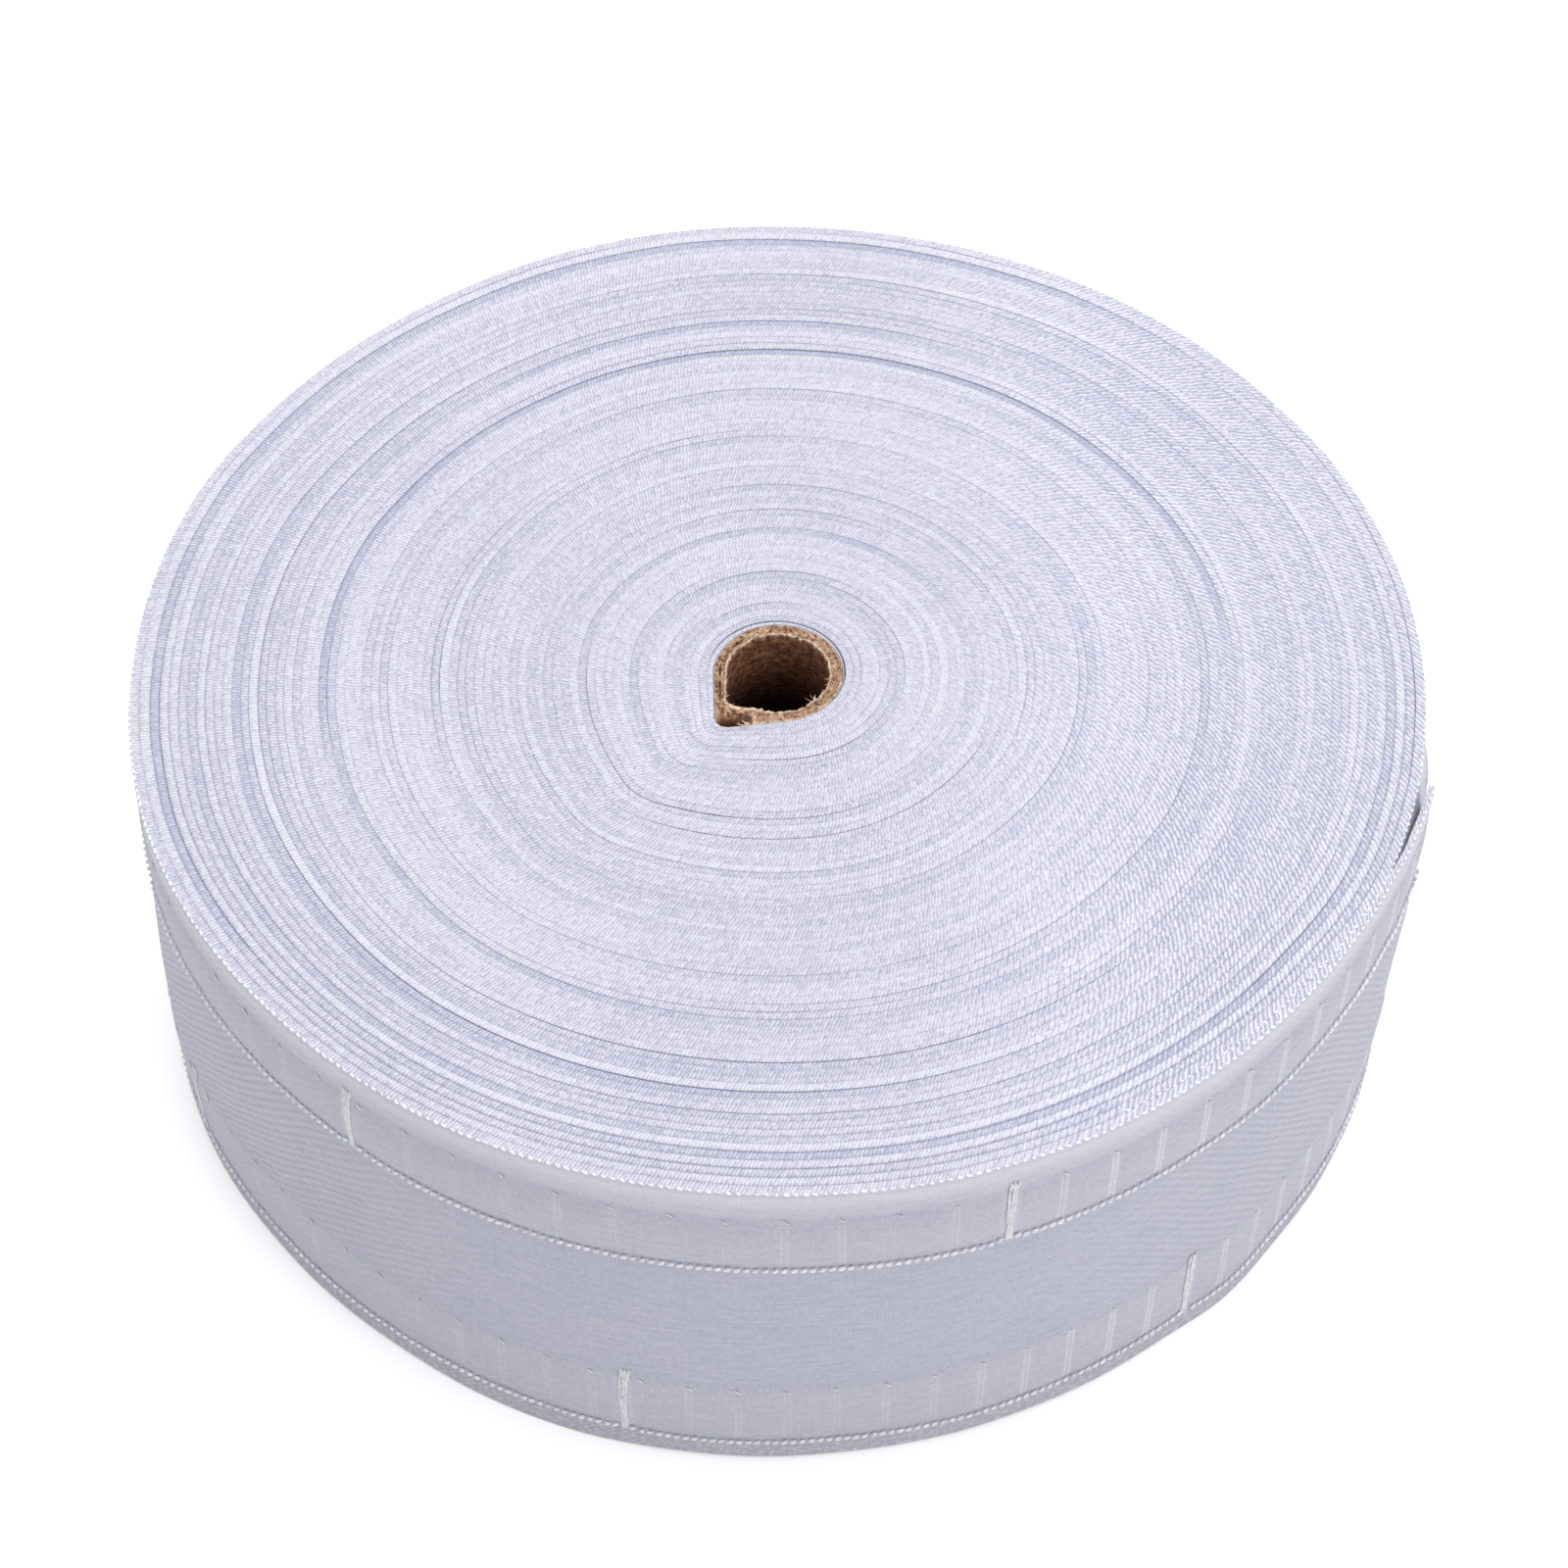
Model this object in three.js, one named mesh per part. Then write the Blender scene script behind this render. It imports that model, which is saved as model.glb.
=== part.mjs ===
import * as THREE from "three";

// A roll of woven curtain heading tape, wound on a crimped cardboard tube and standing on one edge of the tape.
// Millimetres and degrees, +Z up along the roll's axis. Angles run counterclockwise from +X: 270 is the front.
const TAPE_WIDTH = 75;
const WEB_THICKNESS = 1.0;
const CORD_RISE = 0.45;
const CLEARANCE = 0.3;
const ROLL_RADIUS = 107.3;
const LOWER_EDGE_LIFT = 0.5;
const LOWER_EDGE_WAVE = 0.3;

// The outer turn leaves the roll at its root and ends in a cut edge
const ROOT_ANGLE = 300;
const TIP_ANGLE = 345.6;
const STEP_SPAN = 0.3;
const TURN_STEP = WEB_THICKNESS + CORD_RISE + CLEARANCE;
const MEAN_RADIUS = ROLL_RADIUS - TURN_STEP / 2;

const ROLL_STEPS = 60;
const LOOSE_STEPS = 15;
const CORE_STEPS = 44;

// The tape's outer face, from its lower edge up: the place across its width, and the rise over the plain web
const TAPE_FACE = [
  { across: 0.0, rise: 0.1, part: "lower edge" },
  { across: 0.03, rise: 0.2, part: "lower edge" },
  { across: 0.052, rise: 0.0, part: "lower edge" },
  { across: 0.062, rise: CORD_RISE, part: "lower cord" },
  { across: 0.073, rise: 0.2, part: "lower pockets" },
  { across: 0.17, rise: 0.3, part: "lower pockets" },
  { across: 0.262, rise: 0.2, part: "lower pockets" },
  { across: 0.28, rise: 0.0, part: "web" },
  { across: 0.49, rise: 0.06, part: "web" },
  { across: 0.702, rise: 0.0, part: "web" },
  { across: 0.716, rise: CORD_RISE, part: "upper cord" },
  { across: 0.728, rise: 0.2, part: "upper pockets" },
  { across: 0.82, rise: 0.3, part: "upper pockets" },
  { across: 0.906, rise: 0.2, part: "upper pockets" },
  { across: 0.924, rise: 0.05, part: "upper edge" },
  { across: 0.97, rise: 0.08, part: "upper edge" },
  { across: 0.992, rise: 0.2, part: "upper edge" },
];

// Each row of pockets closes at even distances in a thick upright thread, where the row's cord is broken
const POCKET_ROWS = [
  { row: "upper", first: 289.5, spacing: 57.8 },
  { row: "lower", first: 309.4, spacing: 52.6 },
];
const THREAD_RISE = 0.25;
const THREAD_SPAN = 0.5;
const CORD_DIP = 0.4;

// How far the outer turn lies off its spiral
const RIM_SWAY = [
  { angle: 0, out: 0.7 },
  { angle: 45, out: -0.4 },
  { angle: 90, out: 0.4 },
  { angle: 135, out: -0.45 },
  { angle: 180, out: -0.2 },
  { angle: 225, out: 0.0 },
  { angle: 270, out: 0.2 },
  { angle: 315, out: -0.1 },
];

// Places where the side swells: the middle of the swelling, its spread each way, and how far it stands out
const SWELLINGS = [
  { angle: 197, angleSpread: 26, across: 0.35, acrossSpread: 0.4, out: 1.2 },
  { angle: 272, angleSpread: 30, across: 0.05, acrossSpread: 0.25, out: 0.5 },
];

// Rings of the wound top, from the rim inward: their place on the way from the tube to the rim, the lift of the
// turns there, and the stretch over which they keep it. Beyond the stretch the ring is level with the rest.
const TOP_RINGS = [
  { share: 0.995, lift: 0.3, from: 0, to: 360 },
  { share: 0.984, lift: -0.4, from: 0, to: 360 },
  { share: 0.968, lift: 0.5, from: 0, to: 360 },
  { share: 0.952, lift: -0.9, from: 55, to: 205 },
  { share: 0.936, lift: -0.3, from: 215, to: 330 },
  { share: 0.918, lift: 0.5, from: 215, to: 330 },
  { share: 0.889, lift: 0.0, from: 0, to: 360 },
  { share: 0.872, lift: 0.6, from: 0, to: 360 },
  { share: 0.855, lift: 0.0, from: 0, to: 360 },
  { share: 0.806, lift: 0.0, from: 0, to: 360 },
  { share: 0.788, lift: 0.6, from: 190, to: 400 },
  { share: 0.77, lift: 0.0, from: 0, to: 360 },
  { share: 0.729, lift: -0.5, from: 60, to: 140 },
  { share: 0.709, lift: 0.0, from: 0, to: 360 },
  { share: 0.693, lift: 0.6, from: 150, to: 350 },
  { share: 0.665, lift: -0.7, from: 10, to: 190 },
  { share: 0.645, lift: 0.0, from: 0, to: 360 },
  { share: 0.555, lift: 0.3, from: 200, to: 340 },
  { share: 0.49, lift: 0.0, from: 0, to: 360 },
  { share: 0.472, lift: 0.7, from: 90, to: 180 },
  { share: 0.452, lift: -0.5, from: 90, to: 180 },
  { share: 0.42, lift: -0.3, from: 0, to: 360 },
  { share: 0.397, lift: 0.2, from: 0, to: 360 },
  { share: 0.29, lift: 0.0, from: 0, to: 360 },
  { share: 0.269, lift: 0.5, from: 240, to: 330 },
  { share: 0.245, lift: 0.0, from: 0, to: 360 },
  { share: 0.224, lift: -0.4, from: 30, to: 210 },
  { share: 0.196, lift: 0.1, from: 0, to: 360 },
  { share: 0.107, lift: 0.2, from: 0, to: 360 },
  { share: 0.03, lift: 0.2, from: 0, to: 360 },
  { share: 0.0, lift: -0.3, from: 0, to: 360 },
];
const STRETCH_FADE = 18;
const SPIRAL_FADE = 24;
const FOOT_SHARE = 0.986;

// How far the loose end stands off the roll along its length, and how much of that it keeps across its width
const STAND_OFF = [
  { angle: 318, off: 0.0 },
  { angle: 328, off: 0.15 },
  { angle: 334, off: 0.45 },
  { angle: 340, off: 1.05 },
  { angle: TIP_ANGLE, off: 1.85 },
];
const LEAN = [
  { across: 0.0, keep: 0.0 },
  { across: 0.33, keep: 0.5 },
  { across: 0.66, keep: 0.95 },
  { across: 1.0, keep: 1.0 },
];

// The cardboard tube lies off the roll's centre. Its one crimp is a corner, with a pocket round it in the tape.
const TUBE_CENTRE = { x: 0.4, y: -2.35 };
const TUBE_RADIUS = 10.7;
const BORE_RADIUS = 8.5;
const RIM_DROP = 0.9;
const TUBE_FOOT = 0.3;
const CRIMP_OUTER = { angle: 229, reach: 9.6, radius: 2.6 };
const CRIMP_INNER = { angle: 218, reach: 9.3, radius: 1.2 };
const CRIMP_TAPE = { angle: 231, reach: 12.9, radius: 2.2 };
const CRIMP_SAG = 1.3;
const CRIMP_SPREAD = 40;
const CORNER_STEPS = 10;
const TORN_RIM = [
  { waves: 5, rise: 0.14 },
  { waves: 11, rise: 0.12 },
  { waves: 17, rise: 0.08 },
];

const { degToRad, euclideanModulo, lerp, smoothstep } = THREE.MathUtils;

function apart(one, other) {
  return Math.abs(euclideanModulo(one - other + 180, 360) - 180);
}

function hump(distance, spread) {
  return distance < spread ? 0.5 + 0.5 * Math.cos((Math.PI * distance) / spread) : 0;
}

// Reads a short table between its rows; past its ends it keeps the end rows' values
function readTable(rows, place, key, value) {
  const next = rows.findIndex((row) => row[key] > place);
  if (next === 0) return rows[0][value];
  if (next < 0) return rows[rows.length - 1][value];
  const low = rows[next - 1];
  const high = rows[next];
  return lerp(low[value], high[value], smoothstep(place, low[key], high[key]));
}

function sway(angle) {
  const around = [...RIM_SWAY, { ...RIM_SWAY[0], angle: 360 }];
  return readTable(around, euclideanModulo(angle, 360), "angle", "out");
}

// The upright threads of the outer turn, from its loose end back to where the turn lies under that end
const THREADS = POCKET_ROWS.flatMap(({ row, first, spacing }) => {
  const count = Math.floor((first - ROOT_ANGLE + 360) / spacing);
  return Array.from({ length: count }, (_, n) => ({ row, angle: first - n * spacing }));
});

// The rise of the tape's face: the bands and cords, and the upright threads that cross a band
function faceRise(face, angle) {
  const [row, kind] = face.part.split(" ");
  let rise = face.rise;
  for (const thread of THREADS.filter((one) => one.row === row)) {
    const near = hump(Math.abs(angle - thread.angle), THREAD_SPAN);
    if (kind === "pockets") rise += THREAD_RISE * near;
    if (kind === "cord") rise -= CORD_DIP * near;
  }
  return rise;
}

function swelling(angle, across) {
  let out = 0;
  for (const place of SWELLINGS) {
    const along = hump(apart(angle, place.angle), place.angleSpread);
    out += place.out * along * hump(Math.abs(across - place.across), place.acrossSpread);
  }
  return out;
}

// The plain web's outer radius: a spiral that falls by one step in the full turn behind the root
function webRadius(angle) {
  return ROLL_RADIUS + (TURN_STEP * (angle - ROOT_ANGLE)) / 360 + sway(angle);
}

function lowerEdge(angle) {
  const turn = degToRad(angle);
  return LOWER_EDGE_LIFT + LOWER_EDGE_WAVE * Math.sin(3 * turn + 1) * Math.cos(8 * turn);
}

// A round outline drawn out into one corner: the distance from the round's centre, toward an angle
function crimped(angle, radius, corner) {
  const swing = degToRad(angle - corner.angle);
  let reach = 0;
  for (let step = 0; step <= CORNER_STEPS; step += 1) {
    const share = step / CORNER_STEPS;
    const along = share * corner.reach * Math.cos(swing);
    const aside = share * corner.reach * Math.sin(swing);
    const round = lerp(radius, corner.radius, share);
    if (round > Math.abs(aside)) reach = Math.max(reach, along + Math.sqrt(round * round - aside * aside));
  }
  return reach;
}

function onTube(angle, distance, height) {
  const turn = degToRad(angle);
  return [TUBE_CENTRE.x + distance * Math.cos(turn), TUBE_CENTRE.y + distance * Math.sin(turn), height];
}

function onRoll(angle, distance, height) {
  const turn = degToRad(angle);
  return [distance * Math.cos(turn), distance * Math.sin(turn), height];
}

// Even steps between two angles, with three close ones at each upright thread in place of a step beside it
function stepAngles(from, to, steps) {
  const inside = THREADS.map((thread) => thread.angle).filter((angle) => angle > from && angle < to);
  const even = Array.from({ length: steps + 1 }, (_, n) => lerp(from, to, n / steps));
  const gap = ((to - from) / steps) * 0.4;
  const clear = (angle) => inside.every((one) => apart(one, angle) > gap);
  const kept = even.filter((angle, n) => n === 0 || n === steps || clear(angle));
  const close = inside.flatMap((angle) => [angle - THREAD_SPAN, angle, angle + THREAD_SPAN]);
  return [...kept, ...close].sort((one, other) => one - other);
}

function solid(points, triangles) {
  const geometry = new THREE.BufferGeometry();
  geometry.setAttribute("position", new THREE.Float32BufferAttribute(points.flat(), 3));
  geometry.setIndex(triangles);
  geometry.computeVertexNormals();
  return geometry;
}

// Joins equal closed sections in order. A section runs up its outer side and down its inner side.
function joinSections(sections, closed) {
  const size = sections[0].length;
  const triangles = [];
  const last = closed ? sections.length : sections.length - 1;
  for (let n = 0; n < last; n += 1) {
    const here = n * size;
    const there = ((n + 1) % sections.length) * size;
    for (let low = 0; low < size; low += 1) {
      const high = (low + 1) % size;
      triangles.push(here + low, there + low, there + high);
      triangles.push(here + low, there + high, here + high);
    }
  }
  return triangles;
}

// Fills the two ends of a sheet, whose sections have as many points on the inner side as on the outer side
function fillEnds(sections) {
  const size = sections[0].length;
  const end = (sections.length - 1) * size;
  const triangles = [];
  for (let low = 0; low < size / 2 - 1; low += 1) {
    const corners = [low, low + 1, size - 2 - low, size - 1 - low];
    const [a, b, c, d] = corners;
    triangles.push(a, b, c, a, c, d);
    triangles.push(end + a, end + c, end + b, end + a, end + d, end + c);
  }
  return triangles;
}

function ringLift(ring, angle) {
  const middle = (ring.from + ring.to) / 2;
  const half = (ring.to - ring.from) / 2;
  if (half >= 180) return ring.lift;
  return ring.lift * (1 - smoothstep(apart(angle, middle), half - STRETCH_FADE, half + STRETCH_FADE));
}

// A place on the wound top or foot, between the tube's outline and the rim. Only the outer turns drift outward.
function onWinding(angle, share, height) {
  const inner = onTube(angle, crimped(angle, TUBE_RADIUS + CLEARANCE, CRIMP_TAPE), height);
  const rim = lerp(MEAN_RADIUS, webRadius(angle), share ** SPIRAL_FADE);
  const outer = onRoll(angle, rim, height);
  return inner.map((value, axis) => lerp(value, outer[axis], share));
}

function rollSection(angle) {
  const points = TAPE_FACE.map((face) => {
    const height = Math.max(face.across * TAPE_WIDTH, lowerEdge(angle));
    return onRoll(angle, webRadius(angle) + faceRise(face, angle) + swelling(angle, face.across), height);
  });
  for (const ring of TOP_RINGS) points.push(onWinding(angle, ring.share, TAPE_WIDTH + ringLift(ring, angle)));
  points.push(onWinding(angle, 0, TAPE_WIDTH / 2));
  points.push(onWinding(angle, 0, 0));
  points.push(onWinding(angle, FOOT_SHARE, 0));
  return points;
}

function tapeRoll() {
  const start = ROOT_ANGLE - 360 + STEP_SPAN;
  const angles = stepAngles(start, ROOT_ANGLE, ROLL_STEPS);
  const sections = angles.map(rollSection);
  return solid(sections.flat(), joinSections(sections, true));
}

function looseSection(angle) {
  const off = readTable(STAND_OFF, angle, "angle", "off");
  const rows = TAPE_FACE.map((face) => {
    const web = webRadius(angle) + off * readTable(LEAN, face.across, "across", "keep");
    const height = Math.max(face.across * TAPE_WIDTH, lowerEdge(angle));
    return { web, height, rise: faceRise(face, angle) };
  });
  const outer = rows.map((row) => onRoll(angle, row.web + row.rise, row.height));
  const inner = rows.map((row) => onRoll(angle, row.web - WEB_THICKNESS, row.height));
  return [...outer, ...inner.reverse()];
}

function looseEnd() {
  const root = ROOT_ANGLE + 2 * STEP_SPAN;
  const angles = stepAngles(root, TIP_ANGLE, LOOSE_STEPS);
  const sections = angles.map(looseSection);
  return solid(sections.flat(), [...joinSections(sections, false), ...fillEnds(sections)]);
}

function tornRim(angle) {
  const turn = degToRad(angle);
  return TORN_RIM.reduce((sum, tear) => sum + tear.rise * Math.sin(turn * tear.waves + tear.waves), 0);
}

function coreSection(angle) {
  const outer = crimped(angle, TUBE_RADIUS, CRIMP_OUTER);
  const inner = crimped(angle, BORE_RADIUS, CRIMP_INNER);
  const sag = CRIMP_SAG * hump(apart(angle, CRIMP_OUTER.angle), CRIMP_SPREAD);
  const rim = TAPE_WIDTH - RIM_DROP - sag + tornRim(angle);
  const profile = [
    { across: 1.0, height: TUBE_FOOT },
    { across: 1.0, height: TAPE_WIDTH / 2 },
    { across: 1.0, height: rim - 0.6 },
    { across: 0.8, height: rim },
    { across: 0.3, height: rim - 0.15 },
    { across: 0.0, height: rim - 0.7 },
    { across: 0.0, height: TAPE_WIDTH / 2 },
    { across: 0.0, height: TUBE_FOOT },
  ];
  return profile.map((row) => onTube(angle, lerp(inner, outer, row.across), row.height));
}

function coreTube() {
  const sections = Array.from({ length: CORE_STEPS }, (_, n) => coreSection((360 * n) / CORE_STEPS));
  return solid(sections.flat(), joinSections(sections, true));
}

function mesh(name, geometry, look) {
  const made = new THREE.Mesh(geometry, new THREE.MeshStandardMaterial(look));
  made.name = name;
  return made;
}

const TAPE_LOOK = { color: 0xdcdee8, roughness: 0.85, metalness: 0 };
const LOOSE_LOOK = { color: 0xc9ccd9, roughness: 0.85, metalness: 0 };
const CARDBOARD_LOOK = { color: 0xb8936c, roughness: 0.95, metalness: 0 };

const rollOfTape = new THREE.Group();
rollOfTape.add(mesh("tape_roll", tapeRoll(), TAPE_LOOK));
rollOfTape.add(mesh("loose_end", looseEnd(), LOOSE_LOOK));
rollOfTape.add(mesh("core_tube", coreTube(), CARDBOARD_LOOK));

// The origin is the middle of the whole part's foot
const bounds = new THREE.Box3().setFromObject(rollOfTape);
const middle = bounds.getCenter(new THREE.Vector3());
rollOfTape.position.set(-middle.x, -middle.y, -bounds.min.z);

export default rollOfTape;
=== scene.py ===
"""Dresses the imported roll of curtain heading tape. Its wound turns, its outer turn with two corded rows of
pockets and a loose end, and its torn cardboard tube stand on a pale floor in soft studio light."""

import math
from types import SimpleNamespace

import bmesh
import bpy
import numpy as np
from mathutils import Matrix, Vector, noise


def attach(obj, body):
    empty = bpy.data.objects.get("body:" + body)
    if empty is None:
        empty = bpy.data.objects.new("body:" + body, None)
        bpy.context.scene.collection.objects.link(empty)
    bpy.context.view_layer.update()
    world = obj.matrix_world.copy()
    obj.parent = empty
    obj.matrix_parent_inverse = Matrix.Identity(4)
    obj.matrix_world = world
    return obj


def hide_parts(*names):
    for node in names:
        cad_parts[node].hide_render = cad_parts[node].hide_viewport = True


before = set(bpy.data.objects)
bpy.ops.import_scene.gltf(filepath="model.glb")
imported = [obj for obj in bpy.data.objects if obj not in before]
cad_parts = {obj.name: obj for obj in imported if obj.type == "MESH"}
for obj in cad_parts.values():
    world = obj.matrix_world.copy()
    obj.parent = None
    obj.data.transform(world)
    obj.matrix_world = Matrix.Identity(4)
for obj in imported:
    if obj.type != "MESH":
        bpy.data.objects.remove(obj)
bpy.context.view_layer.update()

bl_info = {
    "name": "Heading Tape Roll",
    "version": (1, 0, 0),
    "blender": (4, 5, 0),
    "location": "3D View > Sidebar > Heading Tape",
    "description": "Makes a wound roll of woven curtain heading tape on its torn cardboard tube",
    "category": "Add Mesh",
}

# Lengths are in millimetres and angles in degrees, as in the part's source. Angles run counterclockwise from
# +X, 270 is the front, and along the tape they run on from turn to turn.
MM = 0.001
ROLL_AXIS = Vector((-0.0316, 0.5833, 0.0))
ROLL_RADIUS = 107.3
TURN_STEP = 1.75
TUBE_GRIP = 0.05
ROOT_ANGLE = 300
TIP_ANGLE = 345.6
LOWER_EDGE_LIFT = 0.5
LOWER_EDGE_WAVE = 0.3
MM_PER_DEGREE = math.radians(ROLL_RADIUS)

# How far the tape lies off its spiral, from the outer turn's start to its cut end
RIM_SWAY = [
    (-60, 0.95), (-40, 1.1), (-26, 2.1), (-15, 1.8), (-8, 1.5), (9, 1.4), (17, 1.1), (25, 0.7), (35, 0.2),
    (55, 0.3), (70, -0.1), (85, 0.05), (99, 0.4), (110, 0.1), (125, -0.5), (147, -0.5), (157, 0.0),
    (178, -0.15), (192, 0.1), (200, 0.4), (225, 0.0), (246, 0.3), (262, 0.3), (272, 0.45), (285, 0.8),
    (300, 0.95), (TIP_ANGLE, 0.95),
]

# How far the roll's foot is drawn in, by angle, and where the side swells
FOOT_DRAW = [
    (0, 2.0), (90, 0.4), (180, 0.5), (205, 0.8), (220, 1.2), (235, 1.3), (262, 0.6), (285, 1.7), (298, 2.5),
    (307, 2.7), (315, 1.8), (323, 2.5), (331, 2.1), (360, 2.0),
]
SWELLING = {"angle": 197, "angle_spread": 26, "across": 0.35, "across_spread": 0.4, "out": 0.9}

# How far the turn under the loose end swells just below its upper edge, by angle
SWELL_UNDER_END = [
    (-30, 0.0), (-25, 0.1), (-20, 0.7), (-14, 1.3), (-10, 1.6), (-5, 0.8), (6, 0.5), (20, 0.0),
]
SWELL_ACROSS = (0.88, 0.12)

# How far the loose end stands off the roll, by angle, and how much of that it keeps across its width
STAND_OFF = [(326, 0.0), (334, 0.3), (339, 0.9), (TIP_ANGLE, 1.55)]
LEAN = [(0.0, 0.0), (0.33, 0.5), (0.66, 0.95), (1.0, 1.0)]

# The rise of the tape's outer face over its plain web, by the place across its width
FACE_RISE = [
    (0.0, 0.3), (0.012, 0.24), (0.03, 0.14), (0.05, 0.06), (0.058, 0.02), (0.074, 0.02), (0.086, 0.1),
    (0.12, 0.2), (0.2, 0.3), (0.255, 0.22), (0.275, 0.0), (0.42, 0.06), (0.6, 0.04), (0.715, 0.03),
    (0.726, 0.0), (0.742, 0.0), (0.754, 0.08), (0.79, 0.2), (0.85, 0.3), (0.9, 0.2), (0.916, 0.02),
    (0.95, 0.05), (0.975, 0.12), (1.0, 0.08),
]

# The two rows of pockets: the places of each and its cord across the tape, the angle of its first closing
# thread, and the degrees between closing threads and between divisions
POCKET_ROWS = [
    {
        "name": "upper", "low": 0.746, "high": 0.912, "cord": 0.734,
        "first": 289.5, "spacing": 57.8, "division": 4.69,
    },
    {
        "name": "lower", "low": 0.078, "high": 0.27, "cord": 0.066,
        "first": 309.4, "spacing": 52.6, "division": 4.26,
    },
]

# Rings of the wound top, from the rim inward: their place from the tube to the rim, the lift of the turns
# there, and the stretch of angles over which they keep it
TOP_RINGS = [
    (0.995, 0.3, 0, 360), (0.984, -0.4, 0, 360), (0.968, 0.5, 0, 360), (0.952, -0.9, 55, 205),
    (0.936, -0.3, 215, 330), (0.918, 0.5, 215, 330), (0.889, 0.0, 0, 360), (0.872, 0.6, 0, 360),
    (0.855, 0.0, 0, 360), (0.806, 0.0, 0, 360), (0.788, 0.6, 190, 400), (0.77, 0.0, 0, 360),
    (0.729, -0.5, 60, 140), (0.709, 0.0, 0, 360), (0.693, 0.6, 150, 350), (0.665, -0.7, 10, 190),
    (0.645, 0.0, 0, 360), (0.555, 0.3, 200, 340), (0.49, 0.0, 0, 360), (0.472, 0.7, 90, 180),
    (0.452, -0.5, 90, 180), (0.42, -0.3, 0, 360), (0.397, 0.2, 0, 360), (0.29, 0.0, 0, 360),
    (0.269, 0.5, 240, 330), (0.245, 0.0, 0, 360), (0.224, -0.4, 30, 210), (0.196, 0.1, 0, 360),
    (0.107, 0.2, 0, 360), (0.03, 0.2, 0, 360), (0.0, -0.3, 0, 360),
]
STRETCH_FADE = 18
# How much of those lifts is used, and slow rises and falls along the tape: seed, size and spacing in degrees
LIFT_KEPT = 0.26
SLOW_LIFTS = [(3, 0.05, 110), (4, 0.02, 31)]

# Single turns that stand high or low or leave a groove beside them: their share of the roll's radius, the
# stretch of angles, the lift and the groove
ODD_TURNS = [
    (0.956, 50, 210, -0.5, 0.3), (0.885, 60, 330, 0.15, 0.1), (0.81, 60, 300, 0.12, 0.08),
    (0.757, 80, 120, -0.4, 0.4), (0.725, 120, 330, 0.18, 0.05), (0.7, 14, 185, -0.5, 0.35),
    (0.52, 92, 178, -0.5, 0.4), (0.48, 140, 320, -0.2, 0.2), (0.345, 245, 325, -0.3, 0.3),
    (0.305, 60, 250, -0.3, 0.25),
]

# Small shapes that repeat on the tape, with their length, width, thickness and slant, and how the cords and
# the closing threads are laid
EDGE_LOOP = (1.0, 0.44, 0.44, 20)
DIVISION_TICK = (1.3, 0.3, 0.26, 42)
CORD_SLANT = -22
CORD_RISE = 0.36
CORD_GAP = 0.42
STITCH_LENGTH = 1.5
STITCH_SLANT = 78
STITCH_STEP = 0.75
STRAND_LEANS = (-0.55, 0.0, 0.55)

# Degrees between the columns of points on the tape's face
FACE_STEP = 0.7

# The cardboard tube lies off the roll's centre. Its one crimp is a corner, with a pocket round it.
TUBE_CENTRE = (0.4, -2.35)
RIM_DROP = 0.15
TUBE_FOOT = 0.3
CRIMP_OUTER = {"angle": 229.5, "reach": 12.85, "radius": 2.05}
CRIMP_INNER = {"angle": 218, "reach": 9.3, "radius": 1.2}
CRIMP_TAPE = {"angle": 229.5, "reach": 12.9, "radius": 2.1}
CRIMP_POCKET = {"middle": (-7.1, -13.2), "half": (3.3, 2.2), "depth": 5.5}
RIM_CRACK = {"across": 0.52, "angle": 165, "spread": 45, "depth": 1.3}
CORNER_STEPS = 10
TORN_RIM = [(5, 0.1), (11, 0.08), (17, 0.06)]

# The tube's section from the foot outside, over the rim and down inside: the place across its wall, and the
# height above the floor or the depth below the rim
TUBE_SECTION = [
    (1.0, TUBE_FOOT, None), (1.0, None, 6.0), (1.0, None, 1.6), (0.99, None, 0.5), (0.95, None, 0.05),
    (0.9, None, -0.08), (0.82, None, 0.15), (0.72, None, 0.32), (0.62, None, 0.2), (0.52, None, 0.38),
    (0.4, None, 0.22), (0.3, None, 0.34), (0.2, None, 0.1), (0.11, None, -0.12), (0.04, None, -0.02),
    (0.0, None, 0.4), (-0.02, None, 1.6), (-0.02, None, 6.0), (-0.02, None, 20.0), (-0.02, TUBE_FOOT, None),
]
TUBE_COLUMNS = 300

# Torn fibres are thin cones, rooted a little below the rim. The last of them stand in two tufts: the angle,
# spread and number of fibres of each.
FIBRE_SIDES = 5
FIBRE_STEPS = 6
FIBRE_ROOT = 0.35
TUFT_FIBRES = 20
TUFTS = [(246, 2.5, 14), (313, 2.5, 6)]

# A wound turn's section: places across its thickness, and how far they lie below its top or above its foot
TURN_TOP = [(0.0, 0.16), (0.13, 0.09), (0.3, 0.03), (0.5, 0.0), (0.7, 0.03), (0.87, 0.09), (1.0, 0.16)]
TURN_FOOT = [(1.0, 0.4), (0.75, 0.06), (0.25, 0.06), (0.0, 0.4)]
# The same section laid flat for its weave, with the sides and the foot well past the loops of the top
TURN_LAYOUT = [-0.3, 0.05, 0.3, 0.7, 1.1, 1.35, 1.7, 90, 91, 92, 93, 94]

# The turns just under the outer one lie looser. A turn's sections are so many millimetres apart, within
# limits in degrees.
LOOSE_TURNS = 3
TURN_ARC = 2.4
TURN_ARC_DEGREES = (1.3, 4.0)

# The stage: the point the camera looks at, the floor, and the place and size of each light. The point is in
# millimetres and the rest in metres.
VIEW_TARGET = Vector((1.39, 0.0, 43.7))
FLOOR_SIZE = 6.0
OVERHEAD_LIGHT = ((0.05, 0.13, 1.15), 1.3)
RIGHT_FRONT_LIGHT = ((0.9, -0.9, 0.75), 0.7)


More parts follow.
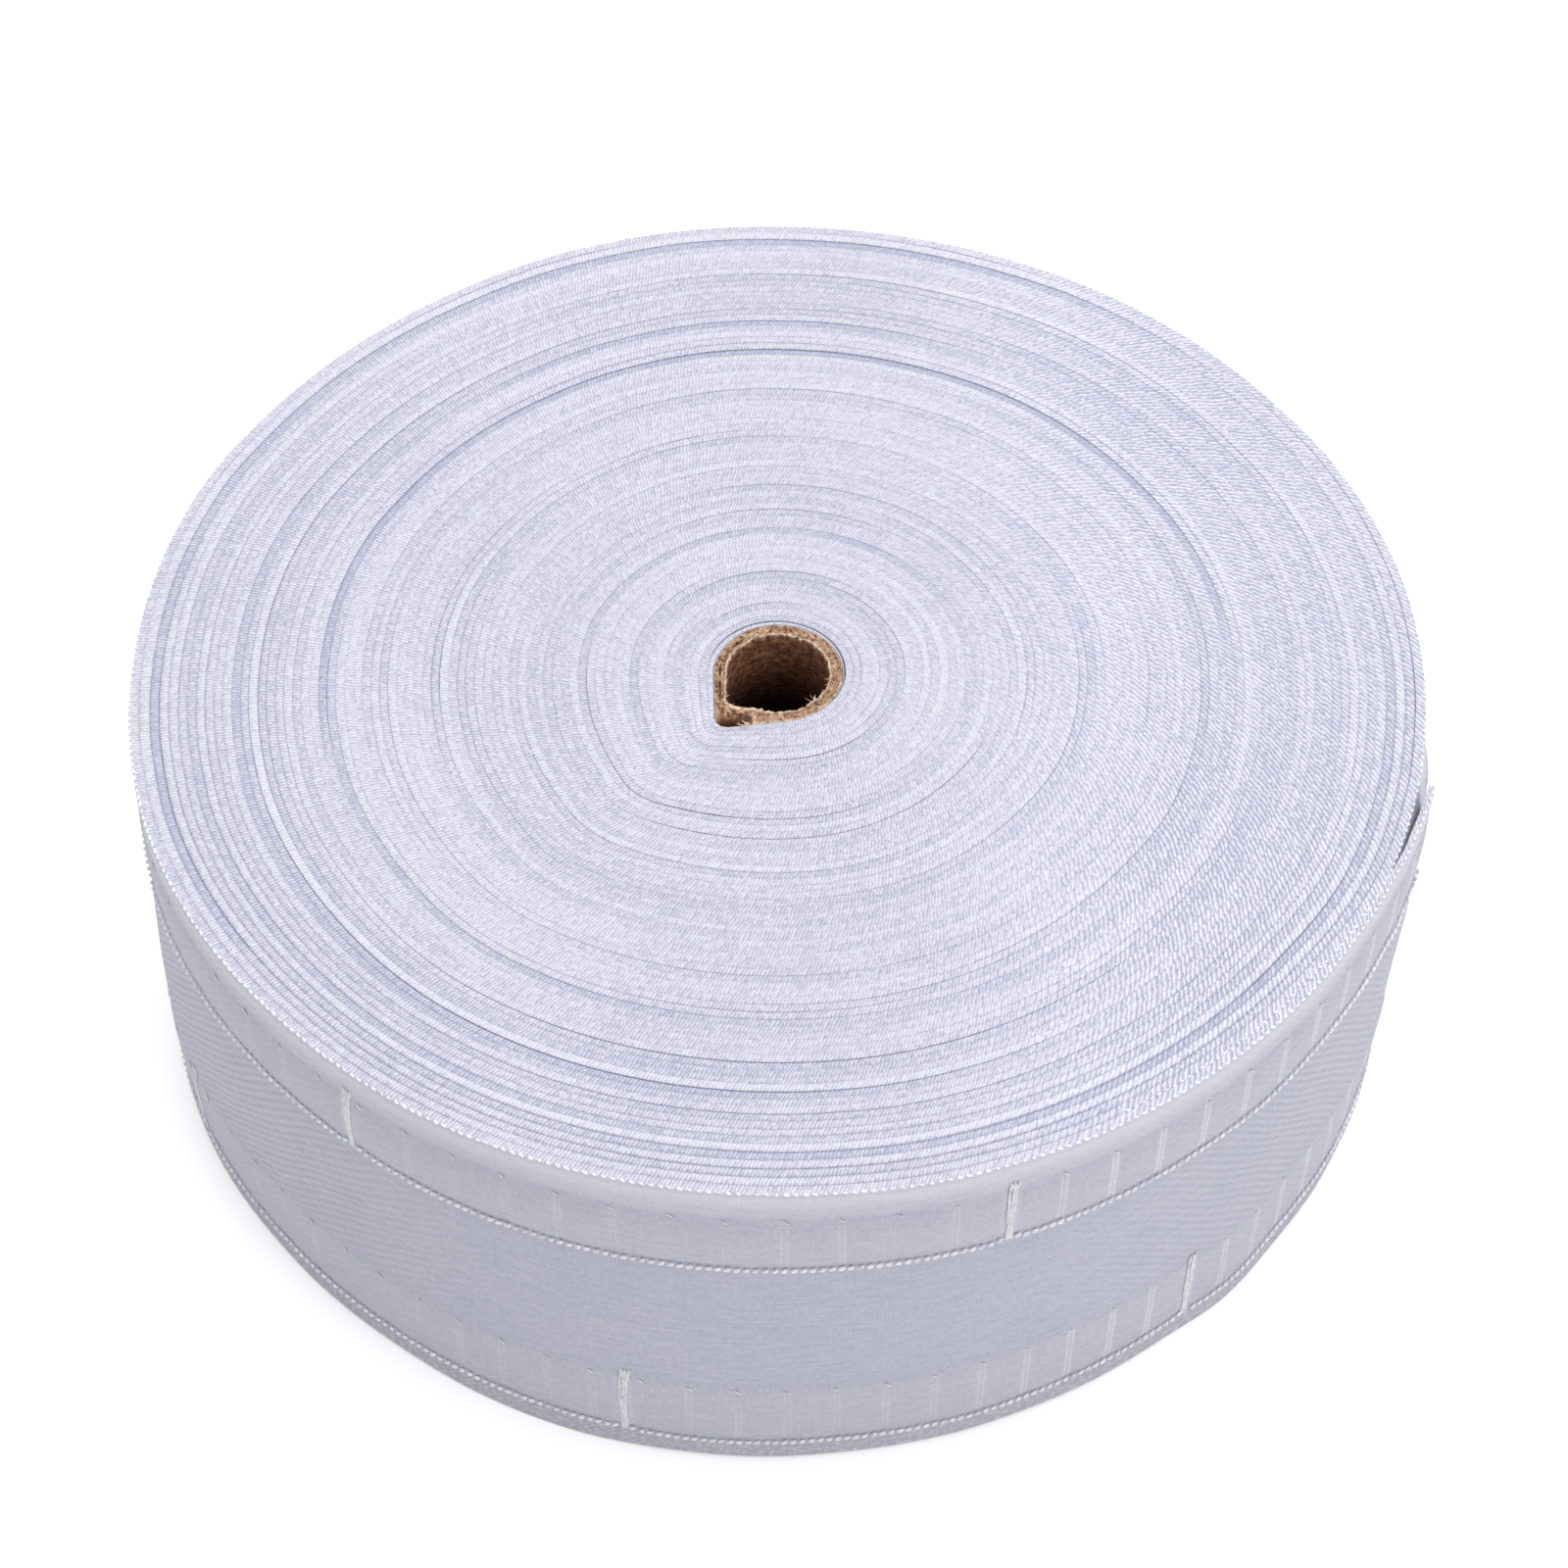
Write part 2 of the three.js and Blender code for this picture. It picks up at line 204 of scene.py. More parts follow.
def length_property(name, description, size, least, most):
    """A length, whose size and limits are given in millimetres."""
    return bpy.props.FloatProperty(
        name=name, description=description, default=size * MM, min=least * MM, max=most * MM,
        unit="LENGTH", precision=5,
    )


def amount_property(name, description, amount, most, least=0.0, **kind):
    return bpy.props.FloatProperty(
        name=name, description=description, default=amount, min=least, max=most, **kind,
    )


class TapeSizes(bpy.types.PropertyGroup):
    """The tape's sizes"""

    width: length_property("Width", "Width of the tape, which is the roll's height", 75, 20, 200)
    web: length_property("Web", "Thickness of the plain web of the outer turn", 1.0, 0.3, 1.4)
    edge: length_property("Edge", "Thickness of the outer turn's woven edge", 1.78, 0.5, 1.9)
    groove: length_property("Groove", "Width of the groove between two turns", 0.0, 0.0, 0.5)
    turns: bpy.props.IntProperty(
        name="Turns", description="Number of wound turns under the outer one", default=65, min=10, max=90,
    )


class CordSizes(bpy.types.PropertyGroup):
    """The sizes of the draw cords and of the threads that close the pockets"""

    pitch: length_property("Pitch", "Length of tape that each bead of a draw cord takes", 1.46, 0.5, 5)
    bead_length: length_property("Bead length", "Length of one bead of a draw cord", 1.15, 0.3, 5)
    bead_width: length_property("Bead width", "Width of one bead of a draw cord", 0.66, 0.2, 3)
    thread: length_property(
        "Closing thread", "Thickness of one strand of a thread that closes a row of pockets", 0.42, 0.1, 1,
    )


class TubeSizes(bpy.types.PropertyGroup):
    """The cardboard tube's sizes"""

    radius: length_property("Radius", "Outer radius of the cardboard tube", 10.7, 5, 30)
    bore: length_property("Bore", "Radius of the hole through the tube", 8.5, 3, 28)
    fibres: bpy.props.IntProperty(
        name="Fibres", description="Number of torn fibres that stand on the rim", default=46, min=0, max=300,
    )


def colour_property(name, description, red, green, blue):
    return bpy.props.FloatVectorProperty(
        name=name, description=description, default=(red, green, blue, 1.0),
        min=0.0, max=1.0, size=4, subtype="COLOR",
    )


class RollColours(bpy.types.PropertyGroup):
    """The colours of the tape and the cardboard"""

    edge: colour_property("Turn edges", "Lit loops of the woven edges", 0.735, 0.715, 0.8)
    edge_shade: colour_property("Edge shade", "Hollows between the loops", 0.37, 0.395, 0.52)
    web: colour_property("Web", "Plain web between the rows of pockets", 0.348, 0.364, 0.462)
    pocket: colour_property("Pockets", "Denser cloth of the pockets", 0.42, 0.415, 0.5)
    selvedge: colour_property("Selvedge", "Rough cloth below the lower cord", 0.4, 0.4, 0.46)
    cord: colour_property("Cord", "Beads of the draw cords", 0.97, 0.97, 0.98)
    thread: colour_property("Thread", "Threads that close a row of pockets", 0.76, 0.745, 0.76)
    board: colour_property("Cardboard", "Torn rim of the tube", 0.5, 0.31, 0.2)
    board_light: colour_property("Cardboard lip", "Pale edges and fibres of the rim", 0.93, 0.75, 0.58)
    board_dark: colour_property("Cardboard cracks", "Cracks of the torn rim", 0.13, 0.06, 0.037)


class StageSettings(bpy.types.PropertyGroup):
    """The floor, the lights and the camera"""

    floor: colour_property("Floor", "Colour of the pale floor", 0.93, 0.93, 0.935)
    glow: amount_property("Floor glow", "Light that the lit paper floor gives off itself", 0.28, 5.0)
    lens: amount_property(
        "Lens", "Focal length of the camera on a 36 mm sensor", 99.8, 300, 20, unit="CAMERA",
    )
    distance: amount_property(
        "Distance", "From the camera to the point it looks at", 0.744, 5.0, 0.2, unit="LENGTH",
    )
    elevation: amount_property(
        "Elevation", "How steeply the camera looks down", math.radians(49.59), 1.5,
        subtype="ANGLE", unit="ROTATION",
    )
    key_power: amount_property(
        "Overhead light", "Power of the soft light over the roll", 15.6, 500.0,
        subtype="POWER", unit="POWER",
    )
    side_power: amount_property(
        "Side light", "Power of the soft light at the right front", 3.4, 500.0,
        subtype="POWER", unit="POWER",
    )
    surround: amount_property("Surround", "Strength of the even light from all round", 0.36, 5.0)


class HeadingTapeSettings(bpy.types.PropertyGroup):
    """All that a user can change about the roll"""

    tape: bpy.props.PointerProperty(type=TapeSizes)
    cord: bpy.props.PointerProperty(type=CordSizes)
    tube: bpy.props.PointerProperty(type=TubeSizes)
    colours: bpy.props.PointerProperty(type=RollColours)
    stage: bpy.props.PointerProperty(type=StageSettings)


def settings():
    return bpy.context.scene.heading_tape


def sizes(name):
    """The lengths of a named group of settings in millimetres, and its numbers as they are."""
    group = getattr(settings(), name)
    values = {key: getattr(group, key) for key in group.__annotations__}
    for key, value in values.items():
        if isinstance(value, float):
            values[key] = value / MM
    return SimpleNamespace(**values)


def read_table(rows, place):
    """Reads a short table of places and values smoothly between its rows, and keeps its ends past them."""
    places, values = np.array(rows, float).T
    place = np.clip(place, places[0], places[-1])
    high = np.clip(np.searchsorted(places, place, side="right"), 1, len(places) - 1)
    share = (place - places[high - 1]) / (places[high] - places[high - 1])
    return values[high - 1] + (values[high] - values[high - 1]) * share * share * (3 - 2 * share)


def hump(distance, spread):
    """1 at no distance, falling smoothly to 0 at the spread."""
    return 0.5 + 0.5 * np.cos(np.pi * np.minimum(distance / spread, 1))


def apart(one, other):
    return np.abs((one - other + 180) % 360 - 180)


def fade(distance, spread):
    """1 at and below no distance, falling smoothly to 0 at the spread."""
    return hump(np.maximum(distance, 0), spread)


def drift(seed, place, spacing):
    """A smooth random line between -1 and 1, with a turning point about every spacing."""
    knots = np.random.default_rng(seed).uniform(-1, 1, 4096)
    at = np.asarray(place, float) / spacing
    low = np.floor(at).astype(int)
    share = at - low
    share = share * share * (3 - 2 * share)
    return knots[low % 4096] * (1 - share) + knots[(low + 1) % 4096] * share


def web_radius(along):
    return ROLL_RADIUS + TURN_STEP * (along - ROOT_ANGLE) / 360 + read_table(RIM_SWAY, along)


def side_shape(along, across):
    """How far the roll's side stands out: less toward its foot, and more where it swells."""
    out = -read_table(FOOT_DRAW, along % 360) * (1 - across)
    near = hump(apart(along, SWELLING["angle"]), SWELLING["angle_spread"])
    near = near * hump(np.abs(across - SWELLING["across"]), SWELLING["across_spread"])
    out = out + SWELLING["out"] * near
    under = read_table(SWELL_UNDER_END, (along + 180) % 360 - 180) * (along < ROOT_ANGLE)
    out = out + under * hump(np.abs(across - SWELL_ACROSS[0]), SWELL_ACROSS[1])
    return out


def wind(along, rise, height):
    """Winds places of the flat tape on the roll: degrees along it, and millimetres above its web and up."""
    across = height / sizes("tape").width
    off = read_table(STAND_OFF, along) * read_table(LEAN, across)
    radius = web_radius(along) + off + side_shape(along, across) + rise
    turn = np.radians(along)
    return np.stack(np.broadcast_arrays(radius * np.cos(turn), radius * np.sin(turn), height), axis=-1)


def crimped(angle, radius, corner):
    """A round outline drawn out into one corner: the distance from its centre toward an angle."""
    swing = np.radians(angle - corner["angle"])
    reach = np.zeros_like(swing)
    for share in np.linspace(0, 1, CORNER_STEPS + 1):
        along = share * corner["reach"] * np.cos(swing)
        aside = share * corner["reach"] * np.sin(swing)
        round_part = radius + (corner["radius"] - radius) * share
        edge = along + np.sqrt(np.maximum(round_part**2 - aside**2, 0))
        reach = np.where(round_part > np.abs(aside), np.maximum(reach, edge), reach)
    return reach


def toward(angle, distance, centre=(0.0, 0.0)):
    turn = np.radians(angle)
    return np.stack([centre[0] + distance * np.cos(turn), centre[1] + distance * np.sin(turn)], axis=-1)


def closing_threads(row):
    """Where a row of pockets closes, in degrees along the tape, from the loose end back."""
    count = int((row["first"] - ROOT_ANGLE + 360) // row["spacing"])
    return [row["first"] - n * row["spacing"] for n in range(count)]


def lower_edge(along):
    turn = np.radians(along)
    return LOWER_EDGE_LIFT + LOWER_EDGE_WAVE * np.sin(3 * turn + 1) * np.cos(8 * turn)


def in_world(points):
    return (np.asarray(points, float).reshape(-1, 3) + np.array(ROLL_AXIS)) * MM


def store(piece, **facts):
    """Keeps facts about each point of a piece for its material to read."""
    for name, values in facts.items():
        piece.data.attributes.new(name, "FLOAT", "POINT")
        piece.data.attributes[name].data.foreach_set("value", values)


def new_mesh(name, points, faces, layout=None):
    """Makes an object. The layout gives each corner of its faces a place on the flat tape. Like the points,
    it is in millimetres."""
    mesh = bpy.data.meshes.new(name)
    mesh.from_pydata(in_world(points).tolist(), [], faces)
    if layout is not None:
        mesh.uv_layers.new(name="flat tape")
        mesh.uv_layers["flat tape"].data.foreach_set("uv", np.asarray(layout, float).ravel())
    piece = bpy.data.objects.new(name, mesh)
    bpy.context.collection.objects.link(piece)
    return piece


def strip_faces(columns, rows, laid_out=False):
    """The corners of each face of a strip of closed sections, which have one more row when laid out flat."""
    stride = rows + laid_out
    here = np.arange(columns - 1)[:, None] * stride
    row = np.arange(rows)
    up = (row + 1) % stride
    corners = [here + row, here + up, here + stride + up, here + stride + row]
    return np.stack(corners, axis=-1).reshape(-1, 4)


def select_nothing():
    bpy.ops.object.select_all(action="DESELECT")


def select_only(piece):
    select_nothing()
    piece.select_set(True)
    bpy.context.view_layer.objects.active = piece


def smooth_outward(piece, angle):
    """Turns a closed piece's faces outward, and smooths the edges that are bent by less than the angle."""
    select_only(piece)
    bpy.ops.object.mode_set(mode="EDIT")
    bpy.ops.mesh.select_all(action="SELECT")
    bpy.ops.mesh.normals_make_consistent(inside=False)
    bpy.ops.object.mode_set(mode="OBJECT")
    bpy.ops.object.shade_smooth_by_angle(angle=math.radians(angle))


def settle(piece, slot, material, *nodes):
    """The piece rides on the roll, takes its finish and stands for the CAD nodes that it replaces."""
    piece.data.materials.clear()
    piece.data.materials.append(material)
    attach(piece, "root")
    if nodes:
        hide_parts(*nodes)


class Socket:
    """An output of a material's node that takes part in Python sums, each of which adds a Math node."""

    def __init__(self, tree, output=None):
        self.tree = tree
        self.output = output

    def node(self, kind, given=None, sockets=None, output=0):
        """Adds a node to the same material. What it is given is set first, then its sockets."""
        made = self.tree.nodes.new(kind)
        for key, value in (given or {}).items():
            setattr(made, key, value)
        for key, value in (sockets or {}).items():
            if isinstance(value, Socket):
                self.tree.links.new(value.output, made.inputs[key])
            else:
                made.inputs[key].default_value = value
        return Socket(self.tree, made.outputs[output])

    def maths(self, operation, *values):
        return self.node("ShaderNodeMath", {"operation": operation}, dict(enumerate(values)))

    def __add__(self, other):
        return self.maths("ADD", self, other)

    def __sub__(self, other):
        return self.maths("SUBTRACT", self, other)

    def __rsub__(self, other):
        return self.maths("SUBTRACT", other, self)

    def __mul__(self, other):
        return self.maths("MULTIPLY", self, other)

    def __truediv__(self, other):
        return self.maths("DIVIDE", self, other)

    __radd__ = __add__
    __rmul__ = __mul__

    def absolute(self):
        return self.maths("ABSOLUTE", self)

    def part(self):
        """What is left of a number past the whole one below it."""
        return self.maths("FRACT", self)

    def wave(self):
        """A wave from 0 to 1 that comes back at every whole number."""
        return self.maths("SINE", self * (2 * math.pi)) * 0.5 + 0.5

    def step(self, low, high):
        """Goes smoothly from 0 to 1 as the number goes from low to high."""
        facts = {"Value": self, "From Min": low, "From Max": high}
        return self.node("ShaderNodeMapRange", {"interpolation_type": "SMOOTHSTEP"}, facts)

    def mix(self, base, other):
        """Mixes two colours by this number."""
        return self.node("ShaderNodeMix", {"data_type": "RGBA"}, {0: self, 6: base, 7: other}, output=2)

    def grain(self, scale, detail=2.0, roughness=0.5):
        """Noise from 0 to 1 at the point that this vector gives."""
        facts = {"Vector": self, "Scale": scale, "Detail": detail, "Roughness": roughness}
        return self.node("ShaderNodeTexNoise", None, facts)

    def axis(self, name):
        return self.node("ShaderNodeSeparateXYZ", None, {0: self}, output=name)

    def stretched(self, x, y, z):
        return self.node("ShaderNodeVectorMath", {"operation": "MULTIPLY"}, {0: self, 1: (x, y, z)})


class Finish:
    """A material with its shader. Numbers that are the same all over go on the shader's own sockets."""

    def __init__(self, name, roughness, gloss, sheen=0.0):
        self.material = bpy.data.materials.new(name)
        self.material.use_nodes = True
        self.shader = self.material.node_tree.nodes["Principled BSDF"]
        self.shader.inputs["Roughness"].default_value = roughness
        self.shader.inputs["Specular IOR Level"].default_value = gloss
        self.shader.inputs["Sheen Weight"].default_value = sheen
        self.start = Socket(self.material.node_tree)

    def place(self):
        return self.start.node("ShaderNodeTexCoord", output="Object")

    def flat_tape(self):
        """Millimetres along the flat tape and across it."""
        spread = self.start.node("ShaderNodeUVMap", {"uv_map": "flat tape"})
        return spread.axis("X"), spread.axis("Y"), spread

    def fact(self, name):
        return self.start.node("ShaderNodeAttribute", {"attribute_name": name}, output="Fac")

    def feed(self, name, value):
        self.material.node_tree.links.new(value.output, self.shader.inputs[name])

    def raise_surface(self, height, millimetres):
        """A bump of so many millimetres where the height goes from 0 to 1."""
        facts = {"Strength": 1.0, "Distance": millimetres * MM, "Height": height}
        self.feed("Normal", height.node("ShaderNodeBump", None, facts))


def turn_edge_finish(colours):
    """Woven edges of the wound turns: slanted loops across each turn, with a painted highlight on the turns
    that stand high and painted blue shade on the sunken ones and in the grooves between turns."""
    finish = Finish("woven turn edges", roughness=0.85, gloss=0.2, sheen=0.1)
    along, across, _ = finish.flat_tape()
    place = finish.place()
    fluff = place.grain(1900.0, 3.0, 0.6)
    sideways = place.stretched(9.4, 9.4, 0.0).axis("X")
    slant = sideways * 0.65 + place.grain(14.0, 1.0) * 0.6 + 0.25
    row = along / 0.62 + across * slant
    wide_row = along / 1.08 + across * slant * 0.7
    right = sideways.step(0.1, 0.65)
    at = row.node("ShaderNodeCombineXYZ", None, {0: row, 1: across / 0.9})
    facts = {"Vector": at, "Scale": 1.0, "Randomness": 1.0}
    cell = at.node("ShaderNodeTexVoronoi", {"voronoi_dimensions": "2D"}, facts, output="Color")
    own = cell.axis("X")
    dash = (row + fluff * 0.7 + own * 0.4).wave().step(0.0, 0.65) * (1 - right)
    dash = (wide_row + fluff * 0.5 + own * 0.35).wave().step(0.1, 0.8) * right + dash
    facts = {"W": along / 170.0, "Scale": 1.0, "Detail": 1.0}
    tint = along.node("ShaderNodeTexNoise", {"noise_dimensions": "1D"}, facts)
    patch = place.grain(30.0, 2.0)
    # Painted shade: the lower a turn's top lies, the darker and bluer it is painted.
    depth = 1 - place.axis("Z").step(0.07455, 0.0752)
    strokes = (dash - 0.55) * (depth * 0.12 + right * 0.42 + 0.32)
    # Painted shade in the grooves beside each turn, deepest near the rim, and a painted highlight or painted
    # shade on turns that stand above or below their neighbours.
    painted_groove_shade = (across - 0.7).absolute().step(0.3, 1.0) * (finish.fact("near_rim") * 0.28 + 0.05)
    ridge = finish.fact("ridge") * 1.3 - painted_groove_shade
    light = strokes + (own - 0.5) * 0.4 + (fluff - 0.5) * 0.8 + tint * 0.25 + patch * 0.3 + 0.41
    light = light - depth * 0.2 + ridge
    finish.feed("Base Color", light.step(-0.15, 1.28).mix(colours.edge_shade, colours.edge))
    finish.raise_surface(dash * 0.6 + fluff * 0.5 + own * 0.3, 0.2)
    return finish.material


def off_nearest(along, first, spacing):
    """Millimetres along the flat tape from the nearest of the places that repeat every so many degrees."""
    phase = (along / (spacing * MM_PER_DEGREE) - first / spacing + 0.5).part()
    return ((phase - 0.5) * (spacing * MM_PER_DEGREE)).absolute()


def tape_face_finish(colours):
    """The tape's woven face: a fine web, denser pockets with dotted divisions, painted shade at the top of
    the upper pockets, and a rough lower edge.
    """
    finish = Finish("woven tape face", roughness=0.8, gloss=0.25, sheen=0.08)
    along, across, flat = finish.flat_tape()
    width = sizes("tape").width
    share = across / width
    mottle = flat.grain(1.1, 2.0)
    slub = flat.stretched(0.5, 3.0, 1.0).grain(0.35, 3.0)
    patch = flat.grain(0.05, 2.0)
    ribs = (along / 0.62 + mottle * 0.9).wave()
    weft = (across / 0.55 + mottle * 0.9).wave()
    twill = (along / 0.9 + across / 0.7 + slub).wave()
    weave = ribs * 0.5 + weft * 0.3
    pockets = 0.0
    dots = 0.0
    seams = 0.0
    turned = along / MM_PER_DEGREE
    for row in POCKET_ROWS:
        inside = share.step(row["low"] - 0.006, row["low"])
        inside = inside * (1 - share.step(row["high"] - 0.02, row["high"] + 0.01))
        pockets = inside + pockets
        off = off_nearest(along, row["first"], row["division"])
        line = 1 - (off - 0.42).absolute().step(0.08, 0.3)
        clear = turned.step(283, 302) * 0.75 + patch.step(0.35, 0.6) * 0.25
        dots = line * inside * (across / 0.8).wave() * clear + dots
        seam = (1 - off.step(0.3, 1.3)) * clear * 0.5
        off = off_nearest(along, row["first"], row["spacing"])
        seams = (seam + (1 - off.step(0.8, 2.2)) * 0.6) * inside + seams
    selvedge = 1 - share.step(0.05, 0.06)
    place = finish.place()
    tilted = place.stretched(90.0, 760.0, 650.0)
    tilted = tilted.axis("X") + tilted.axis("Y") + tilted.axis("Z")
    # Light and dark diagonal ripples, only on the roll's left and right sides.
    side_ripples = (tilted / 1.28 + place.grain(35.0, 1.0) * 2.5).wave()
    middle = share.step(0.27, 0.32) * (1 - share.step(0.68, 0.72))
    ripple_sides = place.stretched(9.4, 0.0, 0.0).axis("X").absolute().step(0.3, 0.8) * (middle * 0.7 + 0.3)
    ripple_sides = ripple_sides * share.step(0.08, 0.1)
    grazed = (across / 1.35 + flat.stretched(0.02, 0.3, 1.0).grain(1.0, 1.0) * 3.0).wave()
    grazed = grazed * middle * patch
    rough_weave = (along / 1.5 - across / 1.1).wave() * selvedge
    web = (1 - patch * 0.7).mix(colours.pocket, colours.web)
    # Painted shade under the upper strip: the top of the upper pockets fades to the darker web colour.
    cloth = (pockets * (1 - share.step(0.8, 0.9) * 0.6)).mix(web, colours.pocket)
    strip = share.step(0.9, 0.93) * (0.25 + share.step(0.93, 0.99) * 0.35)
    cloth = strip.mix(cloth, colours.edge)
    cloth = (selvedge * (1 - rough_weave * 0.5)).mix(cloth, colours.selvedge)
    cloth = (selvedge * mottle.step(0.45, 0.8) * 0.6).mix(cloth, colours.edge)
    cloth = (seams * 0.35).mix(cloth, colours.edge)
    cloth = (dots * 0.55).mix(cloth, colours.cord)
    fine = (weave * 0.12 + twill * 0.08 + slub * 0.35 + mottle * 0.45).step(0.2, 0.72)
    # Each ripple is mixed lighter in one half and darker in the other.
    cloth = (side_ripples * ripple_sides * 0.07 + grazed * 0.06).mix(cloth, colours.cord)
    cloth = ((1 - side_ripples) * ripple_sides * 0.2).mix(cloth, (0.1, 0.105, 0.14, 1.0))
    finish.feed("Base Color", (fine * 0.24 * (1 - share.step(0.985, 0.995))).mix(cloth, colours.cord))
    height = weave * 0.13 + twill * 0.14 + slub * 0.2 + mottle * 0.25 + dots * 0.3
    finish.raise_surface(height + rough_weave * 0.4 + grazed * 0.12, 0.24)
    return finish.material


def thread_finish(name, colour, shade, twist):
    """Twisted polyester thread: fine slanted fibres and a little fluff."""
    finish = Finish(name, roughness=0.62, gloss=0.35, sheen=0.2)
    place = finish.place()
    fibre = place.stretched(1.0, 1.0, 0.45).grain(twist, 3.0, 0.65)
    fluff = place.grain(420.0, 2.0)
    finish.feed("Base Color", (fibre * 0.8 + fluff * 0.4).step(0.25, 0.75).mix(shade, colour))
    finish.raise_surface(fibre, 0.12)
    return finish.material


def cardboard_finish(colours):
    """Raw cardboard: a wall inside with painted shade that deepens downward, a torn rim of thin plies with
    painted shade where it dips into the crimp's pocket, and pale split lips.
    """
    finish = Finish("raw cardboard", roughness=0.94, gloss=0.05)
    place = finish.place()
    wall = finish.fact("across_wall")
    height = place.axis("Z")
    middle = (ROLL_AXIS + Vector((*TUBE_CENTRE, 0.0))) * MM
    spoke = place.node("ShaderNodeVectorMath", {"operation": "SUBTRACT"}, {0: place, 1: middle})
    spoke = spoke.stretched(1, 1, 0)
    spoke = spoke.node("ShaderNodeVectorMath", {"operation": "NORMALIZE"}, {0: spoke})
    facts = {0: spoke.axis("X"), 1: spoke.axis("Y"), 2: wall * 0.75}
    ply = spoke.node("ShaderNodeCombineXYZ", None, facts).grain(13.0, 4.0, 0.65)
    crumb = place.grain(1250.0, 4.0, 0.7)
    scratch = place.stretched(1.0, 1.0, 1.8).grain(700.0, 5.0, 0.7)
    stain = place.grain(110.0, 2.0)
    lip = 1 - ((wall - 0.09).absolute().step(0.04, 0.1)) * ((wall - 0.95).absolute().step(0.03, 0.08))
    crack = (ply * 0.95 + crumb * 0.4).step(0.56, 0.7)
    board = crack.mix(colours.board_dark, colours.board)
    board = (crumb.step(0.52, 0.7) * 0.7).mix(board, colours.board_light)
    board = (lip * (0.2 + crumb.step(0.35, 0.6) * 0.75)).mix(board, colours.board_light)
    # Painted shade: wherever the rim lies low, in the crimp's pocket and its crack, it is painted near black.
    sunk = 1 - height.step(0.072, 0.0743)
    board = (sunk * 0.95).mix(board, (0.07, 0.024, 0.012, 1.0))
    # Painted shade in the crimp's pocket: near black at its bottom, tan toward its lip.
    pit = height.step(0.0712, 0.0748).mix((0.03, 0.009, 0.005, 1.0), (0.8, 0.4, 0.17, 1.0))
    board = finish.fact("pit").mix(board, pit)
    inside = 1 - wall.step(-0.02, 0.01)
    lit = (scratch * 0.8 + crumb * 0.3).step(0.4, 0.75).mix((0.13, 0.05, 0.03, 1.0), (0.6, 0.29, 0.165, 1.0))
    # Painted shade down the bore: the inside wall goes from its scratched browns to near black the deeper it
    # lies.
    bore_shade_mask = 1 - height.step(0.057, 0.0746)
    shaded_bore_wall = bore_shade_mask.mix(lit, (0.022, 0.008, 0.006, 1.0))
    finish.feed("Base Color", inside.mix(board, shaded_bore_wall))
    finish.raise_surface(crumb * 0.6 + ply * 0.6 + scratch * 0.4, 0.55)
    return finish.material


def wound_path():
    """Sections along the tape, from the tube out to the start of the outer turn: their angles, turns from
    the outer one, and the depths of their outer faces below the rim."""
    tape = sizes("tape")
    tube = sizes("tube")
    depth = ROLL_RADIUS - TURN_STEP - tube.radius - TUBE_GRIP
    pitch = (depth - TURN_STEP * LOOSE_TURNS) / (tape.turns - LOOSE_TURNS + 1)
    spare = TURN_STEP - pitch
    turns = [0.0]
    last = tape.turns + 1
    while turns[-1] < last:
        n = turns[-1]
        sunk = pitch * n + spare * LOOSE_TURNS * (1 - math.exp(-n / LOOSE_TURNS))
        degrees = math.degrees(TURN_ARC / max(ROLL_RADIUS - TURN_STEP - sunk, 1))
        turns.append(n + min(max(degrees, TURN_ARC_DEGREES[0]), TURN_ARC_DEGREES[1]) / 360)
    turns = np.minimum(np.array(turns[::-1]), last)
    easing = np.exp(-turns / LOOSE_TURNS)
    sunk = pitch * turns + spare * LOOSE_TURNS * (1 - easing)
    angle = ROOT_ANGLE - 360 - 360 * turns
    return SimpleNamespace(turns=turns, angle=angle, sunk=sunk, pitch=pitch + spare * easing, depth=depth)


def on_winding(path, below, height):
    """Places on the ground plan, so many millimetres below the rim on each section's own ray."""
    tape = sizes("tape")
    tube = sizes("tube")
    angle = path.angle[:, None]
    inner = toward(angle, crimped(angle, tube.radius + TUBE_GRIP, CRIMP_TAPE), TUBE_CENTRE)
    sway = read_table(RIM_SWAY, (angle - ROOT_ANGLE) % 360 + ROOT_ANGLE - 360)
    rim = ROLL_RADIUS - TURN_STEP + sway + side_shape(angle, height / tape.width)
    share = 1 - (below / path.depth)[..., None]
    return inner + (toward(angle, rim) - inner) * share


